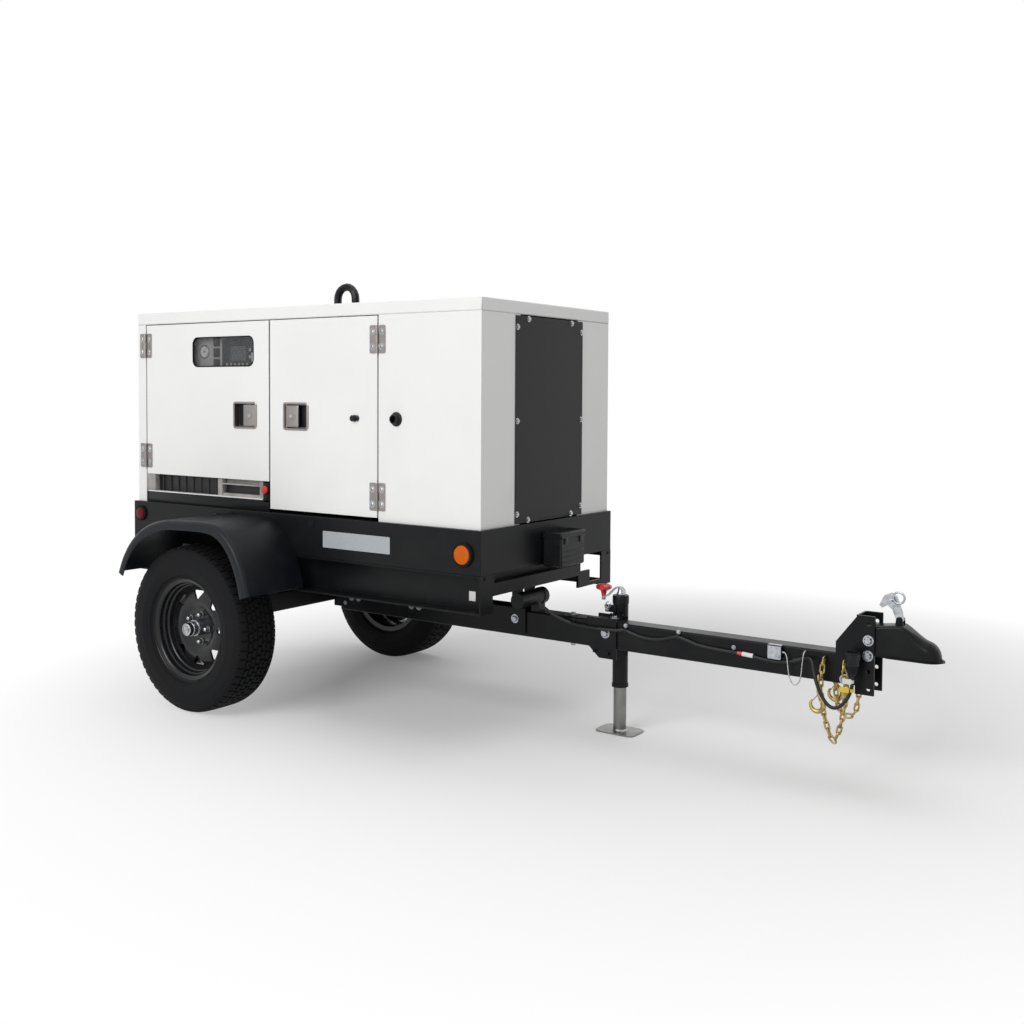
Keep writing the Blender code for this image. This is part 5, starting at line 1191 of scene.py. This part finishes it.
def base_trim():
    """Small things on the base: drain and hole plugs, bare reflective film, a blank plate and bolts."""
    bm = bmesh.new()
    for side in (NEAR, FAR):
        drain = [(0.4546, 0.0165), (0.4570, 0.0165), (0.4582, 0.0150), (0.4582, 0.0100),
                 (0.4568, 0.0090), (0.4568, 0.0010)]
        turned_out(bm, drain, side, (0.469, 0, 0.781), 28)
        turned_out(bm, [(0.4552, 0.0075), (0.4570, 0.0075), (0.4570, 0.0010)], side, (1.282, 0, 0.6330), 20)
    for y in (-0.430, 0.430):
        turned(bm, [(1.3092, 0.0072), (1.3102, 0.0072), (1.3102, 0.0010)], "X", (0, y, 0.633), 20)
    piece("base_plugs", bm, RUBBER)
    bm = bmesh.new()
    for side in (NEAR, FAR):
        pushed(bm, rounded((0.534, 0.690), (0.882, 0.755), 0.004), "Y", side * 0.4549, side * 0.4554)
    piece("side_reflective_film", bm, FILM)
    bm = bmesh.new()
    pushed(bm, rounded((1.205, 0.540), (1.235, 0.575), 0.002), "Y", -0.3849, -0.3856)
    piece("blank_plate", bm, WHITE_TAG)
    bm = bmesh.new()
    for side in (NEAR, FAR):
        for x in (-0.52, -0.05, 0.62, 1.12):
            bolt(bm, (x, side * 0.4200, 0.6452), (0, 0, -1), 0.0150, 0.0060, 0.0012)
    piece("base_bolts", bm, BLACK)


def roof_trim():
    """The rubber collar round the lifting bail, and the rubber sleeves on its legs."""
    bm = bmesh.new()
    outer = rounded((0.148, -0.034), (0.304, 0.034), 0.030, 8)
    inner = rounded((0.1545, -0.0195), (0.2975, 0.0195), 0.018, 8)
    ringed(bm, outer, inner, "Z", 1.6425, 1.6480)
    piece("bail_collar", bm, RUBBER, bevel=0.0015)
    bm = bmesh.new()
    for turn in (-1, 1):
        x = 0.226 + turn * 0.0525
        sleeve = [(1.6400, 0.0175), (1.6400, 0.0188), (1.6520, 0.0188), (1.6560, 0.0176), (1.6560, 0.0172)]
        turned(bm, sleeve, "Z", (x, 0, 0), 24)
    piece("bail_sleeves", bm, RUBBER)


def control_board():
    """What shows through the window: a controller with its display, rocker switches and dials."""
    face = -0.4051
    bm = bmesh.new()
    pushed(bm, rounded((-0.100, 1.392), (0.112, 1.522), 0.014), "Y", face, face - 0.0075)
    pushed(bm, rounded((-0.088, 1.402), (0.100, 1.512), 0.010), "Y", face - 0.0070, face - 0.0092)
    for z in (1.400, 1.446, 1.492):
        pushed(bm, rounded((-0.158, z), (-0.122, z + 0.038), 0.003), "Y", face, face - 0.0055)
        tilt = [(-0.0060, 0.006), (-0.0110, 0.006), (-0.0070, 0.020), (-0.0100, 0.032), (-0.0060, 0.032)]
        loft(bm, [[Vector((x, face + y, z + up)) for y, up in tilt] for x in (-0.152, -0.128)])
    for x in (-0.46, -0.40):
        pushed(bm, rounded((x - 0.020, 1.455), (x + 0.020, 1.510), 0.004), "Y", face, face - 0.008)
    piece("controller_case", bm, SHELL, bevel=0.0008)
    bm = bmesh.new()
    pushed(bm, rounded((-0.044, 1.428), (0.052, 1.490), 0.003), "Y", face - 0.0090, face - 0.0100)
    piece("controller_display", bm, DISPLAY)
    bm = bmesh.new()
    key = [(face - 0.009, 0.0060), (face - 0.0112, 0.0060), (face - 0.0120, 0.0048), (face - 0.0120, 0.0008)]
    for x in (-0.066, -0.040, -0.016, 0.008, 0.032, 0.058):
        turned(bm, key, "Y", (x, 0, 1.414), 20)
    key = [(face - 0.009, 0.0070), (face - 0.0112, 0.0070), (face - 0.0122, 0.0054), (face - 0.0122, 0.0008)]
    for z in (1.444, 1.474):
        turned(bm, key, "Y", (0.076, 0, z), 20)
    piece("controller_keys", bm, PANEL_GREY)
    bm = bmesh.new()
    for x, z in ((-0.218, 1.470), (-0.300, 1.470)):
        turned(bm, [(face, 0.0290), (face - 0.0050, 0.0290), (face - 0.0066, 0.0272), (face - 0.0066, 0.0246),
                    (face - 0.0030, 0.0240)], "Y", (x, 0, z), 40)
    piece("dial_rings", bm, CHROME)
    bm = bmesh.new()
    for x, z in ((-0.218, 1.470), (-0.300, 1.470)):
        turned(bm, [(face, 0.0240), (face - 0.0034, 0.0240), (face - 0.0034, 0.0010)], "Y", (x, 0, z), 40)
    piece("dial_cards", bm, DIAL)
    bm = bmesh.new()
    for x, z, turn in ((-0.218, 1.470, 0.9), (-0.300, 1.470, 2.2)):
        way = Vector((math.cos(turn), 0, math.sin(turn)))
        at = Vector((x, face - 0.0042, z))
        tube(bm, [at - way * 0.005, at + way * 0.018], [0.0011, 0.0004], 8)
        turned(bm, [(face - 0.003, 0.0030), (face - 0.0052, 0.0028), (face - 0.0056, 0.0008)], "Y",
               (x, 0, z), 14)
    piece("dial_needles", bm, RED)
    bm = bmesh.new()
    pushed(bm, rounded((0.084, 1.424), (0.108, 1.462), 0.002), "Y", face - 0.0091, face - 0.0096)
    piece("controller_label", bm, WHITE_TAG)
    bm = bmesh.new()
    for x in (-0.240, -0.150, -0.060, 0.030, 0.120):
        pushed(bm, rounded((x - 0.034, 1.225), (x + 0.034, 1.300), 0.008), "Y", face, face - 0.0100)
        pushed(bm, rounded((x - 0.028, 1.231), (x + 0.028, 1.290), 0.006), "Y", face - 0.0098, face - 0.0160)
        tube(bm, [(x - 0.022, face - 0.0130, 1.2945), (x + 0.022, face - 0.0130, 1.2945)], 0.0032, 10)
    piece("socket_covers", bm, BLACK_PLASTIC, bevel=0.0012)
    bm = bmesh.new()
    for x in (-0.480, -0.300, -0.100, 0.150):
        for z in (1.142, 1.548):
            bolt(bm, (x, face, z), (0, -1, 0), 0.0100, 0.0028, 0.0008, socket=True)
    piece("board_screws", bm, ZINC)


def output_bay():
    """The bay for the load cables: a sheet back with a cable curtain, a sill and the stop's bracket."""
    low, edge, rear = 0.8083, 0.2107, -0.5717
    bm = bmesh.new()
    box(bm, (rear, -0.4050, low), (edge, -0.4000, 1.0))
    box(bm, (rear, -0.4360, low + 0.040), (rear + 0.055, -0.4049, 0.998), 0.001)
    box(bm, (-0.110, -0.4300, low + 0.040), (-0.082, -0.4049, 0.998), 0.001)
    box(bm, (-0.083, -0.4260, low + 0.049), (0.150, -0.4049, low + 0.062), 0.001)
    box(bm, (-0.083, -0.4300, low + 0.098), (0.150, -0.4049, low + 0.104), 0.001)
    box(bm, (0.148, -0.4300, low + 0.040), (0.168, -0.4049, 0.998), 0.001)
    piece("output_bay", bm, INTERIOR, "trailer", ("output_panel",))
    bm = bmesh.new()
    box(bm, (rear + 0.055, -0.4120, low + 0.048), (-0.110, -0.4049, 0.996), 0.001)
    for i in range(8):
        x = rear + 0.085 + i * 0.050
        tube(bm, [(x, -0.4125, low + 0.050), (x, -0.4125, 0.990)], 0.0050, 8)
    box(bm, (-0.081, -0.4062, low + 0.062), (0.147, -0.4049, low + 0.098))
    piece("cable_curtain", bm, CABLE)
    bm = bmesh.new()
    box(bm, (rear, -0.4370, low), (edge, -0.4040, 0.8530), 0.0012)
    box(bm, (0.1762, -0.4370, 0.8445), (edge, -0.4040, 0.9260), 0.002)
    box(bm, (0.1780, -0.4378, 0.876), (0.2090, -0.4368, 0.919), 0.0003)
    piece("bay_sill", bm, BLACK, "trailer")
    bm = bmesh.new()
    box(bm, (rear + 0.012, -0.4388, 0.8538), (0.1740, -0.4040, 0.8580), 0.0010)
    piece("bay_ledge", bm, WHITE)


def stop_collar():
    """The stop button's dished head."""
    bm = bmesh.new()
    turned(bm, [(-0.4505, 0.0120), (-0.4505, 0.0150), (-0.4475, 0.0172), (-0.4440, 0.0172), (-0.4425, 0.0150),
                (-0.4370, 0.0140), (-0.4190, 0.0072), (-0.4190, 0.0010)][::-1]
           + [(-0.4515, 0.0100), (-0.4520, 0.0060), (-0.4520, 0.0008)], "Y", (0.194, 0, 0.8975), 36)
    piece("stop_button_head", bm, RED, "stop_button", ("emergency_stop",), sharp=40)


def battery_trim():
    """The breakaway battery box's lid: two clips and ribs."""
    bm = bmesh.new()
    for y in (-0.030, 0.076):
        box(bm, (1.3955, y - 0.011, 0.724), (1.4000, y + 0.011, 0.752), 0.0012)
    for i in range(7):
        y = -0.046 + 0.023 * i
        box(bm, (1.3300, y - 0.002, 0.7695), (1.3900, y + 0.002, 0.7722), 0.0006)
    for z in (0.655, 0.675, 0.695):
        box(bm, (1.3950, -0.050, z - 0.002), (1.3976, 0.096, z + 0.002), 0.0006)
    piece("battery_box_clips", bm, BLACK_PLASTIC)


def jack_trim():
    """The jack's top cap and collar, a weld bead round the foot, the crank's arm and the pull pin's ring."""
    bm = bmesh.new()
    x, y = 1.565, 0.100
    turned(bm, [(0.4955, 0.0300), (0.4965, 0.0318), (0.5230, 0.0318), (0.5284, 0.0296), (0.5285, 0.0130),
                (0.5270, 0.0126)], "Z", (x, y, 0), 40)
    turned(bm, [(0.1752, 0.0302), (0.1752, 0.0322), (0.1880, 0.0322), (0.1892, 0.0302)], "Z", (x, y, 0), 40,
           closed=True)
    piece("jack_caps", bm, BLACK, "jack")
    bm = bmesh.new()
    turned(bm, [(0.0061, 0.0252), (0.0061, 0.0300), (0.0085, 0.0275), (0.0120, 0.0253)], "Z", (x, y, 0), 36,
           closed=True)
    piece("jack_foot_weld", bm, ZINC, "leg")
    arm = smooth_path([(x + 0.0150, 0, 0.5345), (x + 0.0120, 0, 0.5480), (x, 0, 0.5570),
                       (x - 0.0160, 0, 0.5560),
                       (x - 0.0340, 0, 0.5440), (x - 0.0540, 0, 0.5240), (x - 0.0760, 0, 0.5125)], 5)
    bm = bmesh.new()
    rings = []
    for i, point in enumerate(arm):
        way = (arm[min(i + 1, len(arm) - 1)] - arm[max(i - 1, 0)]).normalized()
        up = Vector((-way.z, 0, way.x)) * 0.0028
        half = 0.0095 - 0.0020 * i / (len(arm) - 1)
        rings.append([Vector((point.x, y + across, point.z)) + up * turn
                      for across, turn in ((-half, -1), (half, -1), (half, 1), (-half, 1))])
    loft(bm, rings)
    turned(bm, [(0.5000, 0.0114), (0.5284, 0.0114), (0.5290, 0.0160), (0.5360, 0.0160), (0.5420, 0.0120),
                (0.5540, 0.0110)], "Z", (x, y, 0), 28)
    turned(bm, [(0.5030, 0.0080), (0.5184, 0.0080)], "Z", (x - 0.0760, y, 0), 20)
    turned(bm, [(0.5100, 0.0039), (0.5420, 0.0039)], "Z", (x - 0.0760, y, 0), 16)
    piece("crank_arm", bm, ZINC, "crank", ("jack_crank",), bevel=0.0010)
    bm = bmesh.new()
    ring = [(1.530 + 0.0110 * math.cos(t), 0.0655, 0.4900 + 0.0130 * math.sin(t))
            for t in full_turn(28)]
    tube(bm, ring, 0.0016, 8, closed=True)
    piece("pull_pin_ring", bm, ZINC, "pull_pin")


def dress_frame():
    """Gives each kept CAD node its finish and, where it is sheet or bar, softer edges."""
    finishes = {
        "black_paint": BLACK, "white_paint": WHITE, "grey_paint": COVER_GREY, "tyre_rubber": RUBBER,
        "black_plastic": BLACK_PLASTIC, "stainless": STAINLESS, "zinc": ZINC, "gold_zinc": GOLD,
        "red_plastic": RED, "cast_alloy": CAST, "core_alloy": CORE, "tank_plastic": TANK,
        "window_pane": PANE, "cable_rubber": CABLE}
    own = {"control_panel": PANEL_GREY, "starting_battery": BLACK_PLASTIC, "jack_leg": DRAWN}
    edges = {"roof_panel": 0.0030, "rear_panel": 0.0012, "front_cover": 0.0010, "chassis_frame": 0.0015,
             "skid_base": 0.0025, "tongue_tube": 0.0030, "hitch_bracket": 0.0015, "jack_mount": 0.0012,
             "battery_box": 0.0020, "front_corner_panel_near": 0.0012, "front_corner_panel_far": 0.0012,
             "door_near_rear": 0.0010, "door_near_front": 0.0010, "door_far_rear": 0.0010,
             "door_far_front": 0.0010, "coupler_latch_lever": 0.0015, "jack_leg": 0.0012,
             "torsion_arm_near": 0.0020, "torsion_arm_far": 0.0020, "axle_tube": 0.0015}
    slots = {row["node"]: row["material_slot"] for row in frame["record"]["subparts"]}
    for name, node in frame["nodes"].items():
        finish = own.get(name) or finishes.get(slots.get(name))
        if finish is None:
            raise SystemExit(f"no finish for {name}")
        if not node.material_slots:
            node.data.materials.append(finish)
        for slot in node.material_slots:
            slot.link = "OBJECT"
            slot.material = finish
        if name in edges and not node.hide_render:
            soften(node, edges[name])


# ---------------------------------------------------------------- stage

def floor():
    """A pale floor that fades into the white round it and keeps the shadow."""
    bm = bmesh.new()
    reach, level = 14.0, -0.0005
    bm.faces.new([bm.verts.new((reach * math.cos(t), reach * math.sin(t), level)) for t in full_turn(64)])
    mesh = meshed("floor", bm)
    made = add("floor", mesh)
    finish = Finish("pale_floor", (0.92, 0.92, 0.92), 0.9, Specular_IOR_Level=0.1)
    sight = sight_rays(finish)
    beyond = finish.node("ShaderNodeVectorMath", {"operation": "SUBTRACT"},
                         {0: finish.place, 1: (0.2, 0.7, 0.0)})
    far = finish.node("ShaderNodeVectorMath", {"operation": "LENGTH"}, {0: beyond}, "Value")
    glow = finish.node("ShaderNodeEmission", {}, {"Color": (1.0, 1.0, 1.0), "Strength": 1.0})
    share = finish.span(far, 1.3, 2.8, 0.16, 1.0) * sight
    plain = Wire(finish, finish.shader.outputs[0])
    skin = finish.node("ShaderNodeMixShader", {}, {0: share, 1: plain, 2: glow})
    finish.feed(finish.tree.nodes["Material Output"], {"Surface": skin})
    mesh.materials.append(finish.material)


def sight_rays(finish):
    """1 for rays that look at the background: straight, mirrored or through glass."""
    rays = finish.tree.nodes.new("ShaderNodeLightPath")
    seen, mirrored, through = (Wire(finish, rays.outputs[n]) for n in
                               ("Is Camera Ray", "Is Glossy Ray", "Is Transmission Ray"))
    return finish.join_max(finish.join_max(seen, mirrored), through)


class Sky(Finish):
    """The world's own nodes, mixed the same way."""

    def __init__(self):
        world = bpy.data.worlds.new("studio")
        bpy.context.scene.world = world
        world.use_nodes = True
        self.tree = world.node_tree


def sky():
    made = Sky()
    sight = sight_rays(made)
    background = made.tree.nodes["Background"]
    made.feed(background, {"Color": (1.0, 1.0, 1.0), "Strength": 0.36 + sight * 0.64})


def softbox(name, at, look, size, power):
    data = bpy.data.lights.new(name, "AREA")
    data.shape, data.size, data.size_y = "RECTANGLE", size[0], size[1]
    data.energy = power
    made = add(name, data)
    made.location = at
    made.rotation_mode = "QUATERNION"
    made.rotation_quaternion = (Vector(at) - Vector(look)).to_track_quat("Z", "Y")
    made.visible_camera = False


def lights():
    softbox("key", (-0.6, -6.4, 4.0), (0.0, 0.0, 0.8), (4.5, 3.0), 252)
    softbox("top", (0.3, 0.4, 4.6), (0.0, 0.0, 0.6), (4.5, 3.0), 70)


# ---------------------------------------------------------------- assembly

camera()
cords()
for side, name in SIDES:
    tyre(side, name)
    wheel_disc(side, name)
    hub(side, name)
    guard(side, name)
    chain(side, name)
coupler()
lock_ring()
fixings()
harness_fixings()
breakaway()
hinges()
latches()
door_trim()
cover_bolts()
lamps()
louvres()
base_trim()
roof_trim()
control_board()
output_bay()
stop_collar()
battery_trim()
jack_trim()
dress_frame()
floor()
sky()
lights()
bpy.context.scene.view_settings.view_transform = "Standard"
